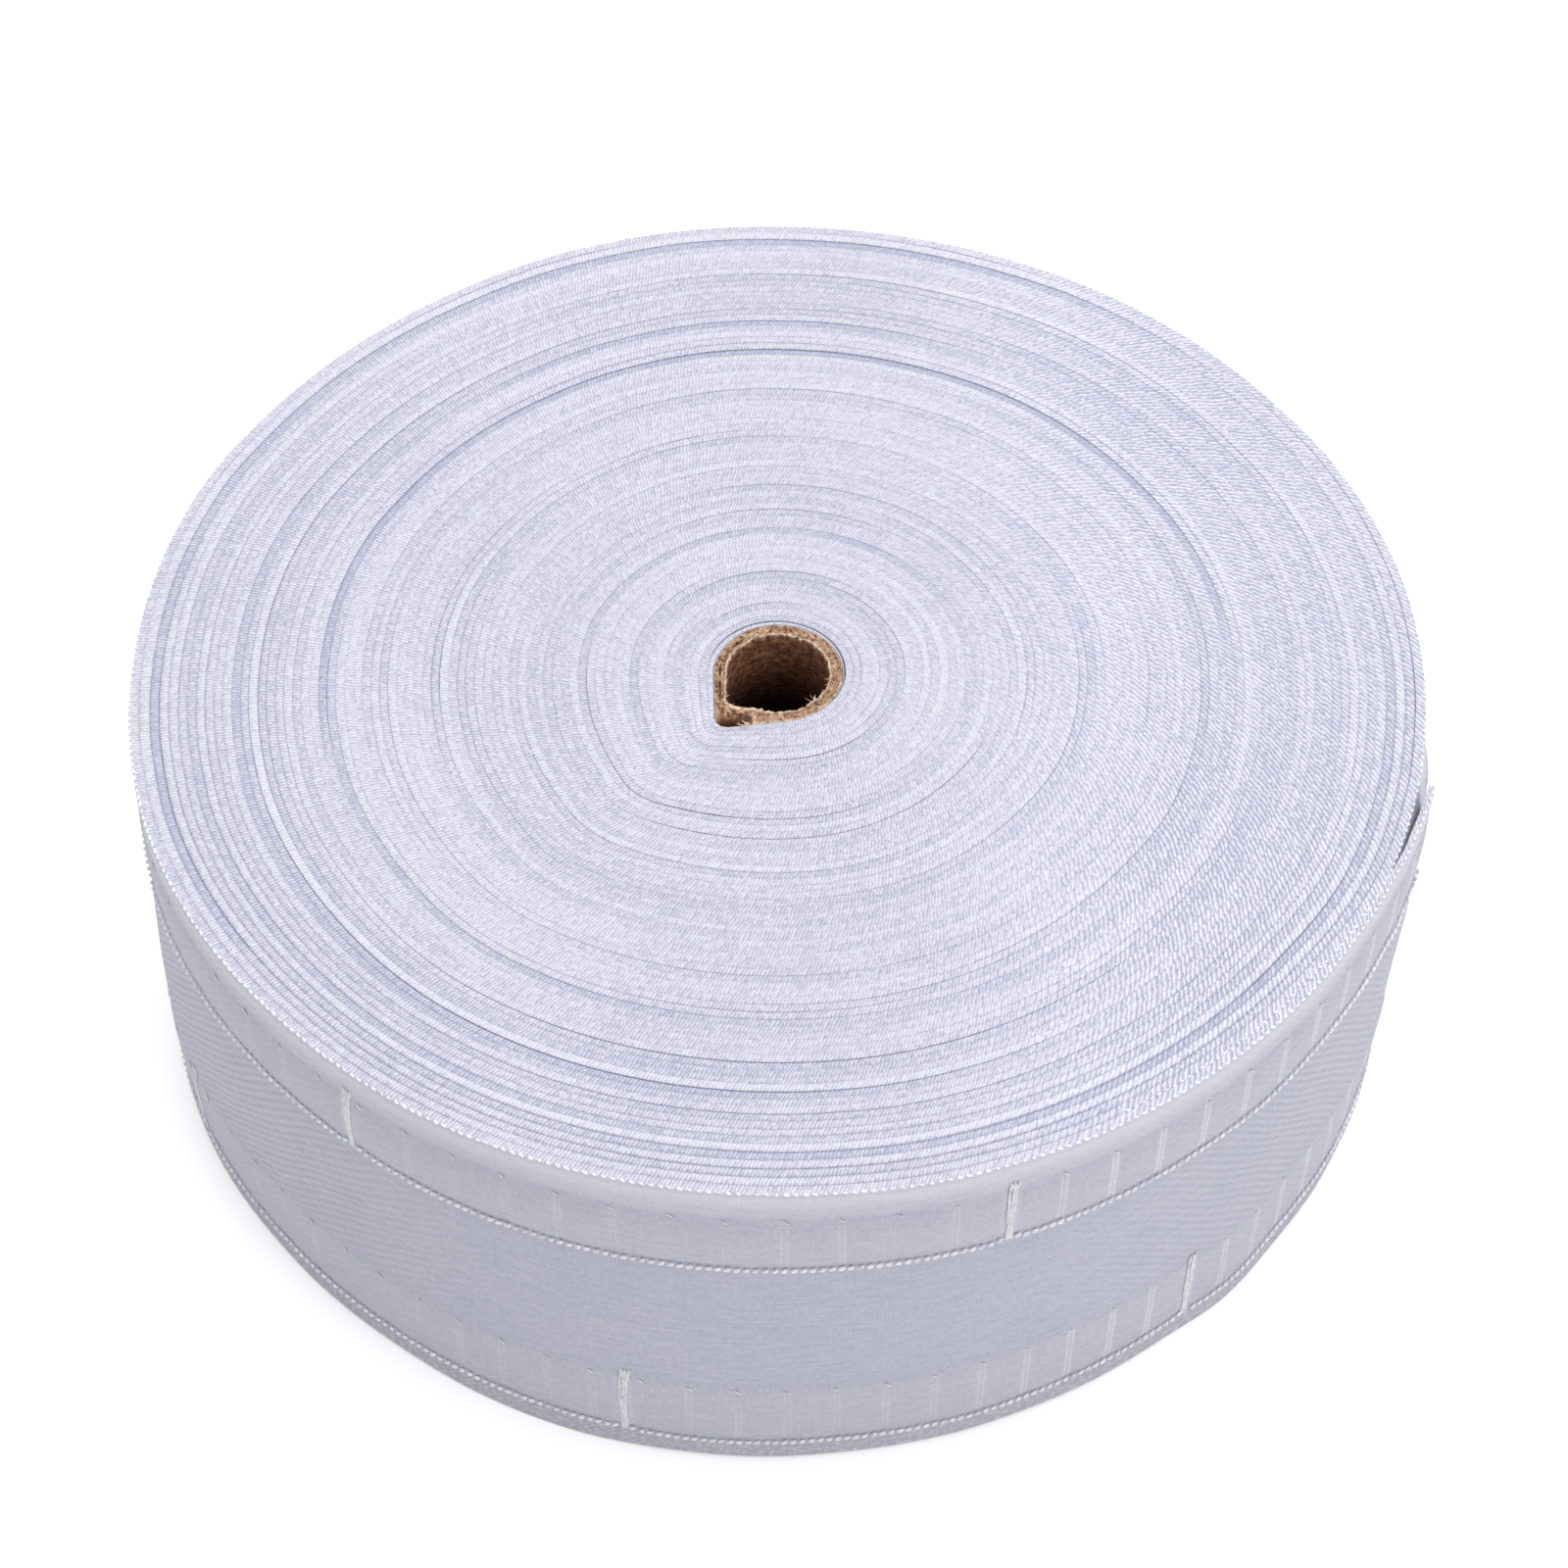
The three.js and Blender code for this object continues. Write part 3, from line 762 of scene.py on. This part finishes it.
def turn_lift(path):
    """How high each section's top lies, and how much wider its groove is."""
    radius = ROLL_RADIUS - TURN_STEP - path.sunk - path.pitch / 2
    inner = ROLL_RADIUS - TURN_STEP - path.depth
    share = (radius - inner) / (ROLL_RADIUS - TURN_STEP / 2 - inner)
    rings = []
    for place, lift, start, end in reversed(TOP_RINGS):
        half = (end - start) / 2
        past = apart(path.angle, (start + end) / 2) - half
        keep = np.ones_like(share) if half >= 180 else fade(past + STRETCH_FADE, 2 * STRETCH_FADE)
        rings.append((place, lift * keep))
    lift = np.zeros_like(share)
    for (low, low_lift), (high, high_lift) in zip(rings, rings[1:]):
        inside = (share >= low) & (share <= high)
        step = (share - low) / (high - low)
        lift = np.where(inside, low_lift + (high_lift - low_lift) * step * step * (3 - 2 * step), lift)
    lift = np.where(share > rings[-1][0], rings[-1][1], lift) * 0.8
    groove = np.zeros_like(share)
    for place, start, end, odd_lift, odd_groove in ODD_TURNS:
        near = np.abs(radius / ROLL_RADIUS - place) + apart(path.angle, (start + end) / 2) * 0.001
        centre = path.angle[np.argmin(near)]
        keep = fade(np.abs(path.angle - centre) - (end - start) / 2, 14)
        lift = lift + odd_lift * keep
        groove = groove + odd_groove * keep
    lift = lift * LIFT_KEPT
    for seed, size, spacing in SLOW_LIFTS:
        lift = lift + size * drift(seed, path.angle, spacing)
    # Some long stretches stand up, neighbouring turns differ, and the turns at the rim alternate at its sides
    lift = lift + 0.3 * np.maximum(drift(9, path.angle, 190) - 0.6, 0)
    swing = 2.4 * np.sin(np.radians(path.angle) + 1.2)
    lift = lift + 0.14 * drift(7, radius + swing, 3.6)
    rim = np.exp(-path.turns / 4)
    lift = lift + rim * 0.12 * np.cos(np.pi * path.turns) * fade(apart(path.angle, 275) - 60, 50)
    # Grooves open here and there, and widest round the tube
    groove = groove * 0.2 + 0.04 * np.maximum(drift(5, path.angle, 60) - 0.6, 0)
    core = sizes("tape").turns - path.turns
    groove = groove + 0.3 * hump(core - 0.4, 0.6) * fade(apart(path.angle, 60) - 80, 40)
    return np.minimum(lift, 0.72), groove


class HEADINGTAPE_OT_wound_turns(bpy.types.Operator):
    """Winds the tape's inner turns on the tube, from its inner end to the start of the outer turn"""

    bl_idname = "heading_tape.wound_turns"
    bl_label = "Wound Turns"

    def execute(self, context):
        tape = sizes("tape")
        path = wound_path()
        lift, groove = turn_lift(path)
        thick = np.clip(path.pitch - tape.groove - groove, 0.05, np.maximum(path.depth - path.sunk, 0.05))
        near_rim = np.exp(-path.turns / 7) * (0.3 + 0.7 * fade(apart(path.angle, 275) - 50, 60))
        crown = 0.65 + 0.4 * drift(8, path.angle, 90) + 0.9 * near_rim
        beside = [np.interp(-path.turns - step, -path.turns, lift) for step in (-1, 1)]
        # How far each turn stands above its neighbours, which the material paints as a highlight or as shade.
        ridge = lift - (beside[0] + beside[1]) / 2
        top = tape.width + lift
        foot = 0.14 + 0.13 * drift(6, path.angle, 50)
        arcs = np.abs(np.diff(np.radians(path.angle))) * (ROLL_RADIUS - path.sunk[1:])
        length = np.concatenate([[0], np.cumsum(arcs)])
        heights = [top - down * crown for across, down in TURN_TOP] + [foot + up for across, up in TURN_FOOT]
        height = np.stack(heights, axis=-1)
        rows = len(heights)
        below = np.stack([path.sunk + thick * (1 - across) for across, _ in TURN_TOP + TURN_FOOT], axis=-1)
        points = np.concatenate([on_winding(path, below, height), height[..., None]], axis=-1)
        split = len(height) * 6 // 10
        material = turn_edge_finish(settings().colours)
        for name, first, last in (("inner_turns", 0, split + 1), ("middle_turns", split, len(height))):
            columns = last - first
            ends = [range(rows), range((columns - 1) * rows, columns * rows)]
            u = np.repeat(length[first:last], rows + 1)
            layout = np.stack([u, np.tile(TURN_LAYOUT, columns)], axis=-1)
            layout = layout[strip_faces(columns, rows, laid_out=True).ravel()]
            layout = np.concatenate([layout, np.zeros((2 * rows, 2))])
            piece = new_mesh(name, points[first:last], [*strip_faces(columns, rows).tolist(), *ends], layout)
            ridges, near = (np.repeat(values[first:last], rows) for values in (ridge, near_rim))
            store(piece, ridge=ridges, near_rim=near)
            smooth_outward(piece, 70)
            settle(piece, "tape", material, "tape_roll")
        return {"FINISHED"}


def face_heights(width):
    """Heights of the rows of points on the tape's face, closest where its rise changes most."""
    places = [place for place, rise in FACE_RISE]
    between = [(low + high) / 2 for low, high in zip(places, places[1:])]
    return np.array(sorted(places + between)) * width


def pocket_pull(along, across):
    """The web is drawn in a little at each division of a row of pockets, and at its closing threads."""
    pull = 0
    for row in POCKET_ROWS:
        phase = ((along - row["first"]) / row["division"] + 0.5) % 1 - 0.5
        inside = fade(row["low"] - across, 0.02) * fade(across - row["high"], 0.02)
        pull = pull - 0.13 * hump(np.abs(phase), 0.22) * inside
    return pull


class HEADINGTAPE_OT_outer_turn(bpy.types.Operator):
    """Lays the outer turn of the tape round the roll, up to the cut end that stands off it"""

    bl_idname = "heading_tape.outer_turn"
    bl_label = "Outer Turn"

    def execute(self, context):
        tape = sizes("tape")
        along = np.arange(ROOT_ANGLE - 360, TIP_ANGLE, FACE_STEP)
        along = np.append(along, TIP_ANGLE)[:, None]
        heights = face_heights(tape.width)[None, :]
        across = heights / tape.width
        low_hem = lower_edge(along) * hump(across, 0.06)
        outer_rise = read_table(FACE_RISE, across) + pocket_pull(along, across)
        edge = fade(tape.width - heights, 2.5)
        thin = 1 - 0.85 * fade(334 - along, 14)
        flare = 0.18 * drift(11, along, 9) * hump(across, 0.05)
        outer_rise = outer_rise + flare - 0.22 * fade(tape.width - heights, 0.6)
        tucked = 0.06 * fade(tape.width - heights, 0.6)
        inner_rise = -tape.web - (tape.edge - tape.web) * edge * thin + tucked + flare
        wave = 0.1 * drift(12, heights, 3) * hump(TIP_ANGLE - along, 2.0)
        outer_height = heights + low_hem + 0.12 * drift(13, along, 14) * hump(1 - across, 0.1)
        outer = wind(along + wave, outer_rise, outer_height)
        inner = wind(along + wave, inner_rise, outer_height)
        points = np.concatenate([outer, inner[:, ::-1]], axis=1)
        columns, rows = points.shape[:2]
        face_v = np.concatenate([heights[0], heights[0, ::-1], [0.0]])
        u = np.repeat(along[:, 0] * MM_PER_DEGREE, rows + 1)
        layout = np.stack([u, np.tile(face_v, columns)], axis=-1)
        half = rows // 2
        layout = layout[strip_faces(columns, rows, laid_out=True).ravel()].reshape(columns - 1, rows, 4, 2)
        layout[:, half - 1, :, 1] = [1.7, -0.3, -0.3, 1.7]
        layout = layout.reshape(-1, 2)
        caps = []
        for first in (0, (columns - 1) * rows):
            for row in range(half - 1):
                caps.append([first + row, first + row + 1, first + rows - 2 - row, first + rows - 1 - row])
        cap_layout = [[along[0, 0] * MM_PER_DEGREE, 0.0]] * (len(caps) * 4)
        faces = strip_faces(columns, rows).tolist() + caps
        piece = new_mesh("outer_turn", points, faces, np.concatenate([layout, cap_layout]))
        smooth_outward(piece, 50)
        settle(piece, "tape", tape_face_finish(settings().colours), "loose_end", "tape_roll")
        piece.data.materials.append(turn_edge_finish(settings().colours))
        upper = np.zeros(len(piece.data.polygons), int)
        upper[half - 1 : (columns - 1) * rows : rows] = 1
        piece.data.polygons.foreach_set("material_index", upper)
        piece.data.update()
        return {"FINISHED"}


def bead_shape(length, width, thickness, slant):
    """One bead on the flat tape: along it, out of it and up it, in millimetres, with its faces."""
    select_nothing()
    bpy.ops.mesh.primitive_uv_sphere_add(segments=8, ring_count=5, radius=0.5)
    bead = bpy.context.object
    bpy.ops.object.mode_set(mode="EDIT")
    bpy.ops.transform.resize(value=(width, thickness, length))
    turn = math.pi / 2 - math.radians(slant)
    bpy.ops.transform.rotate(value=turn, orient_axis="Y", center_override=(0, 0, 0))
    bpy.ops.object.mode_set(mode="OBJECT")
    points = np.array([vertex.co for vertex in bead.data.vertices])
    faces = [tuple(face.vertices) for face in bead.data.polygons]
    bpy.data.objects.remove(bead)
    return points, faces


def lay_copies(name, shape, along, rise, height, grow=None):
    """Copies one small shape to places on the flat tape and winds them on the roll as one piece."""
    points, faces = shape
    grow = np.ones(len(along)) if grow is None else grow
    size = points[None] * grow[:, None, None]
    aside, out, up = np.moveaxis(size, -1, 0)
    wound = wind(along[:, None] + aside / MM_PER_DEGREE, rise[:, None] + out, height[:, None] + up)
    step = len(points)
    copies = [[n * step + corner for corner in face] for n in range(len(along)) for face in faces]
    piece = new_mesh(name, wound, copies)
    smooth_outward(piece, 80)
    return piece


def cord_places(row, cord, width):
    """Places of a draw cord's beads. The cord stops at each closing thread and its ends turn up into it."""
    along = np.arange(ROOT_ANGLE - 360 + 1, TIP_ANGLE - 0.3, cord.pitch / MM_PER_DEGREE)
    near = np.min([np.abs(along - thread) for thread in closing_threads(row)], axis=0)
    keep = near > CORD_GAP
    along = along[keep]
    near = near[keep]
    height = row["cord"] * width + 0.5 * fade(near - 0.5, 0.9) + 0.06 * drift(21, along, 2.5)
    rise = CORD_RISE + 0.03 * drift(22, along, 1.7)
    return along, rise, height


class HEADINGTAPE_OT_draw_cords(bpy.types.Operator):
    """Threads a beaded draw cord along the foot of each row of pockets"""

    bl_idname = "heading_tape.draw_cords"
    bl_label = "Draw Cords"

    def execute(self, context):
        tape = sizes("tape")
        cord = sizes("cord")
        colours = settings().colours
        material = thread_finish("white draw cord", colours.cord, colours.edge_shade, 2600.0)
        shape = bead_shape(cord.bead_length, cord.bead_width, cord.bead_width, CORD_SLANT)
        for row in POCKET_ROWS:
            along, rise, height = cord_places(row, cord, tape.width)
            grow = 1 + 0.1 * drift(23, along, 0.9)
            piece = lay_copies(row["name"] + "_cord", shape, along, rise, height, grow)
            settle(piece, "tape", material)
        return {"FINISHED"}


class HEADINGTAPE_OT_woven_edge(bpy.types.Operator):
    """Sets the small loops of the outer turn's upper edge"""

    bl_idname = "heading_tape.woven_edge"
    bl_label = "Woven Edge"

    def execute(self, context):
        tape = sizes("tape")
        cord = sizes("cord")
        colours = settings().colours
        along = np.arange(ROOT_ANGLE - 360 + 0.4, TIP_ANGLE - 0.2, cord.pitch / MM_PER_DEGREE)
        shape = bead_shape(*EDGE_LOOP)
        height = tape.width - 0.06 + 0.12 * drift(13, along, 14)
        grow = 1 + 0.2 * drift(24, along, 0.9)
        piece = lay_copies("upper_edge_loops", shape, along, np.full_like(along, -0.16), height, grow)
        settle(piece, "tape", thread_finish("edge loops", colours.cord, colours.pocket, 2200.0))
        return {"FINISHED"}


class HEADINGTAPE_OT_pocket_threads(bpy.types.Operator):
    """Sews the thick upright threads that close the rows of pockets, and the ticks that divide them"""

    bl_idname = "heading_tape.pocket_threads"
    bl_label = "Pocket Threads"

    def execute(self, context):
        tape = sizes("tape")
        cord = sizes("cord")
        colours = settings().colours
        material = thread_finish("closing thread", colours.thread, colours.pocket, 2400.0)
        random = np.random.default_rng(31)
        stitch = bead_shape(STITCH_LENGTH, cord.thread * 1.25, cord.thread, STITCH_SLANT)
        tick = bead_shape(*DIVISION_TICK)
        for row in POCKET_ROWS:
            places = []
            for thread in closing_threads(row):
                span = (row["high"] + 0.022 - row["cord"]) * tape.width
                for strand, lean in enumerate(STRAND_LEANS):
                    up = np.arange(0.2, span - 0.2, STITCH_STEP)
                    share = up / span
                    fan = lean * (0.7 + 0.6 * fade(1 - share, 0.4)) + 0.15 * np.sin(share * 9 + strand)
                    aside = fan + 0.05 * random.uniform(-1, 1, len(up)) + 0.5 * fade(1 - share, 0.2)
                    tall = row["cord"] * tape.width + up
                    rise = read_table(FACE_RISE, tall / tape.width) + 0.14 - 0.08 * abs(lean)
                    places.append(np.stack([thread + aside / MM_PER_DEGREE, rise, tall], axis=-1))
            along, rise, height = np.concatenate(places).T
            grow = 1 + 0.15 * random.uniform(-1, 1, len(along))
            piece = lay_copies(row["name"] + "_closing_threads", stitch, along, rise, height, grow)
            settle(piece, "tape", material)
            along = np.arange(row["first"] - row["division"] * 76, TIP_ANGLE - 1, row["division"])
            along = along[along > ROOT_ANGLE - 359]
            aside = 0.35 * random.uniform(-1, 1, len(along)) / MM_PER_DEGREE
            tall = row["high"] * tape.width - 0.6 + 0.25 * random.uniform(-1, 1, len(along))
            grow = 1 + 0.25 * random.uniform(-1, 1, len(along))
            rise = np.full_like(along, 0.2)
            piece = lay_copies(row["name"] + "_ticks", tick, along + aside, rise, tall, grow)
            settle(piece, "tape", material)
        return {"FINISHED"}


def torn_rim(angle):
    turn = np.radians(angle)
    return sum(rise * np.sin(turn * waves + waves) for waves, rise in TORN_RIM)


def tube_rim(angle):
    return sizes("tape").width - RIM_DROP + torn_rim(angle)


def crimp_pocket(x, y):
    """1 where the rim folds down into the corner of the crimp, and 0 away from there."""
    (middle_x, middle_y), (half_x, half_y) = CRIMP_POCKET["middle"], CRIMP_POCKET["half"]
    inside = 1 - ((x - middle_x) / half_x) ** 2 - ((y - middle_y) / half_y) ** 2
    return min(max(inside * 3.5, 0), 1)


class HEADINGTAPE_OT_core_tube(bpy.types.Operator):
    """Makes the crimped cardboard tube with its torn rim"""

    bl_idname = "heading_tape.core_tube"
    bl_label = "Cardboard Tube"

    def execute(self, context):
        tube = sizes("tube")
        select_nothing()
        bpy.ops.mesh.primitive_circle_add(vertices=TUBE_COLUMNS, radius=tube.radius * MM)
        piece = bpy.context.object
        piece.name = piece.data.name = "cardboard_tube"
        bpy.ops.object.mode_set(mode="EDIT")
        for step in range(len(TUBE_SECTION) - 1):
            bpy.ops.mesh.extrude_region_move(TRANSFORM_OT_translate={"value": (0, 0, MM)})
        bpy.ops.mesh.select_all(action="DESELECT")
        bpy.ops.object.mode_set(mode="OBJECT")
        angle = np.arange(TUBE_COLUMNS) * 360 / TUBE_COLUMNS
        outer = crimped(angle, tube.radius, CRIMP_OUTER)
        inner = crimped(angle, tube.bore, CRIMP_INNER)
        rim = tube_rim(angle)
        order = np.array([vertex.co for vertex in piece.data.vertices])
        turn = np.degrees(np.arctan2(order[:, 1], order[:, 0])) % 360
        column = np.round(turn / 360 * TUBE_COLUMNS).astype(int) % TUBE_COLUMNS
        level = np.round(order[:, 2] / MM).astype(int)
        places = np.empty((len(order), 3))
        walls = np.empty(len(order))
        pits = np.empty(len(order))
        for n, (row, col) in enumerate(zip(level, column)):
            across, height, down = TUBE_SECTION[row]
            distance = inner[col] + (outer[col] - inner[col]) * across
            at = Vector((*toward(angle[col], 9), 0))
            if height is None:
                ripped = max(0.0, 1 - abs(across - 0.5) * 1.9) if 0 <= across <= 1 else 0.0
                tear = 0.55 * ripped * noise.noise(at * 1.6 + Vector((0, 0, across * 5)))
                tear += 0.16 * noise.noise(at * 4.1 + Vector((7, 3, across * 9))) * (0.3 + 0.7 * ripped)
                height = rim[col] - down + tear * (1 if down < 1 else 0)
                ragged = 0.34 if across < 0.2 else 0.12
                ragged *= 1 if down < 1 else 0.3
                distance += ragged * noise.noise(at * 2.3 + Vector((0, 5, across * 3)))
                crack = fade(apart(angle[col], RIM_CRACK["angle"]) - RIM_CRACK["spread"], 20)
                crack *= hump(abs(across - RIM_CRACK["across"]), 0.08)
                crack *= min(max(0.6 + 2.5 * noise.noise(at * 0.7), 0), 1)
                height -= RIM_CRACK["depth"] * crack
            x, y = toward(angle[col], distance, TUBE_CENTRE)
            pits[n] = crimp_pocket(x, y)
            places[n] = (x, y, height - (CRIMP_POCKET["depth"] * pits[n] if height > 20 else 0))
            walls[n] = across
        piece.data.vertices.foreach_set("co", in_world(places).ravel())
        piece.data.update()
        select_only(piece)
        bpy.ops.object.mode_set(mode="EDIT")
        made = bmesh.from_edit_mesh(piece.data)
        for edge in made.edges:
            edge.select_set(edge.is_boundary)
        bmesh.update_edit_mesh(piece.data)
        bpy.ops.mesh.bridge_edge_loops()
        bpy.ops.object.mode_set(mode="OBJECT")
        store(piece, across_wall=walls, pit=pits)
        smooth_outward(piece, 60)
        settle(piece, "cardboard", cardboard_finish(settings().colours), "core_tube")
        return {"FINISHED"}


class HEADINGTAPE_OT_torn_fibres(bpy.types.Operator):
    """Stands pale torn fibres on the tube's rim, most of them beside the crimp"""

    bl_idname = "heading_tape.torn_fibres"
    bl_label = "Torn Fibres"

    def execute(self, context):
        tube = sizes("tube")
        random = np.random.default_rng(41)
        single = random.uniform(0, 360, max(tube.fibres - TUFT_FIBRES, 0))
        angles = np.concatenate([single] + [random.normal(*tuft) for tuft in TUFTS])
        count = FIBRE_STEPS * FIBRE_SIDES
        ends = [range(FIBRE_SIDES), range(count - FIBRE_SIDES, count)]
        cone = [*strip_faces(FIBRE_STEPS, FIBRE_SIDES).tolist(), *ends]
        share = np.linspace(0, 1, FIBRE_STEPS)[:, None, None]
        ring = toward(np.arange(FIBRE_SIDES) * 360 / FIBRE_SIDES, 1.0)
        ring = np.concatenate([ring, np.zeros((FIBRE_SIDES, 1))], axis=-1) * (1 - 0.85 * share)
        points = []
        faces = []
        for number, angle in enumerate(angles):
            tuft = number >= len(angles) - TUFT_FIBRES
            outer = crimped(angle, tube.radius, CRIMP_OUTER)
            inner = crimped(angle, tube.bore, CRIMP_INNER)
            outside = angle < 270 and tuft
            if outside:
                across = random.uniform(0.85, 1.0)
            else:
                across = random.choice([random.uniform(0, 0.12), random.uniform(0.1, 0.9)])
            base = toward(angle, inner + (outer - inner) * across, TUBE_CENTRE)
            base = np.array([*base, tube_rim(angle) - FIBRE_ROOT])
            length = random.uniform(0.9, 2.0) if tuft else random.uniform(0.4, 1.0)
            heading = angle + (random.uniform(-50, 50) if outside else random.uniform(110, 250))
            lean = np.array([*toward(heading, 1.0), random.uniform(0.35, 1.1)])
            lean = lean / np.linalg.norm(lean)
            bend = random.uniform(-0.5, 0.5, 3)
            thickness = random.uniform(0.05, 0.13)
            line = base + (lean + bend * share * 0.5) * length * share
            faces += [[number * count + corner for corner in face] for face in cone]
            points.append(line + ring * thickness)
        piece = new_mesh("torn_fibres", points, faces)
        smooth_outward(piece, 60)
        colours = settings().colours
        settle(piece, "cardboard", thread_finish("paper fibre", colours.board_light, colours.board, 900.0))
        return {"FINISHED"}


def add_light(name, place, size, target, power):
    bpy.ops.object.light_add(type="AREA", location=place)
    light = bpy.context.object
    light.name = name
    light.data.shape = "DISK"
    light.data.size = size
    light.data.energy = power
    light.rotation_euler = (target - Vector(place)).to_track_quat("-Z", "Y").to_euler()


class HEADINGTAPE_OT_stage(bpy.types.Operator):
    """Sets up the pale floor, the soft lights and the camera"""

    bl_idname = "heading_tape.stage"
    bl_label = "Stage"

    def execute(self, context):
        stage = settings().stage
        select_nothing()
        bpy.ops.mesh.primitive_grid_add(x_subdivisions=24, y_subdivisions=24, size=FLOOR_SIZE)
        floor = bpy.context.object
        floor.name = "floor"
        finish = Finish("pale paper floor", roughness=0.9, gloss=0.1)
        mottle = finish.place().grain(3.0, 3.0)
        finish.feed("Base Color", (mottle * 0.5).mix(stage.floor, (0.95, 0.95, 0.955, 1.0)))
        finish.shader.inputs["Emission Color"].default_value = (1.0, 1.0, 1.0, 1.0)
        finish.shader.inputs["Emission Strength"].default_value = stage.glow
        floor.data.materials.append(finish.material)
        target = (ROLL_AXIS + VIEW_TARGET) * MM
        back = Vector((0, -math.cos(stage.elevation), math.sin(stage.elevation)))
        bpy.ops.object.camera_add(location=target + back * stage.distance)
        camera = context.object
        camera.rotation_euler = (-back).to_track_quat("-Z", "Y").to_euler()
        camera.data.lens = stage.lens
        camera.data.sensor_width = 36
        camera.data.clip_start = 0.01
        context.scene.camera = camera
        add_light("overhead_light", *OVERHEAD_LIGHT, target, stage.key_power)
        add_light("right_front_light", *RIGHT_FRONT_LIGHT, target, stage.side_power)
        world = bpy.data.worlds.new("even surround")
        world.use_nodes = True
        world.node_tree.nodes["Background"].inputs["Color"].default_value = (0.98, 0.985, 1.0, 1.0)
        world.node_tree.nodes["Background"].inputs["Strength"].default_value = stage.surround
        context.scene.world = world
        context.scene.view_settings.view_transform = "Standard"
        return {"FINISHED"}


class VIEW3D_PT_heading_tape(bpy.types.Panel):
    """Lists the roll's settings and the steps that make it"""

    bl_label = "Heading Tape Roll"
    bl_space_type = "VIEW_3D"
    bl_region_type = "UI"
    bl_category = "Heading Tape"

    def draw(self, context):
        for name in ("tape", "cord", "tube", "colours", "stage"):
            group = getattr(context.scene.heading_tape, name)
            box = self.layout.box()
            box.label(text=name.capitalize())
            for key in group.__annotations__:
                box.prop(group, key)
        for step in STEPS:
            self.layout.operator(step.bl_idname)


STEPS = (
    HEADINGTAPE_OT_stage,
    HEADINGTAPE_OT_wound_turns,
    HEADINGTAPE_OT_outer_turn,
    HEADINGTAPE_OT_woven_edge,
    HEADINGTAPE_OT_draw_cords,
    HEADINGTAPE_OT_pocket_threads,
    HEADINGTAPE_OT_core_tube,
    HEADINGTAPE_OT_torn_fibres,
)
GROUPS = (TapeSizes, CordSizes, TubeSizes, RollColours, StageSettings, HeadingTapeSettings)


def register():
    for kind in GROUPS + STEPS + (VIEW3D_PT_heading_tape,):
        bpy.utils.register_class(kind)
    bpy.types.Scene.heading_tape = bpy.props.PointerProperty(type=HeadingTapeSettings)


def unregister():
    del bpy.types.Scene.heading_tape
    for kind in reversed(GROUPS + STEPS + (VIEW3D_PT_heading_tape,)):
        bpy.utils.unregister_class(kind)


def main():
    register()
    for step in STEPS:
        family, name = step.bl_idname.split(".")
        getattr(getattr(bpy.ops, family), name)()


if __name__ == "__main__":
    main()
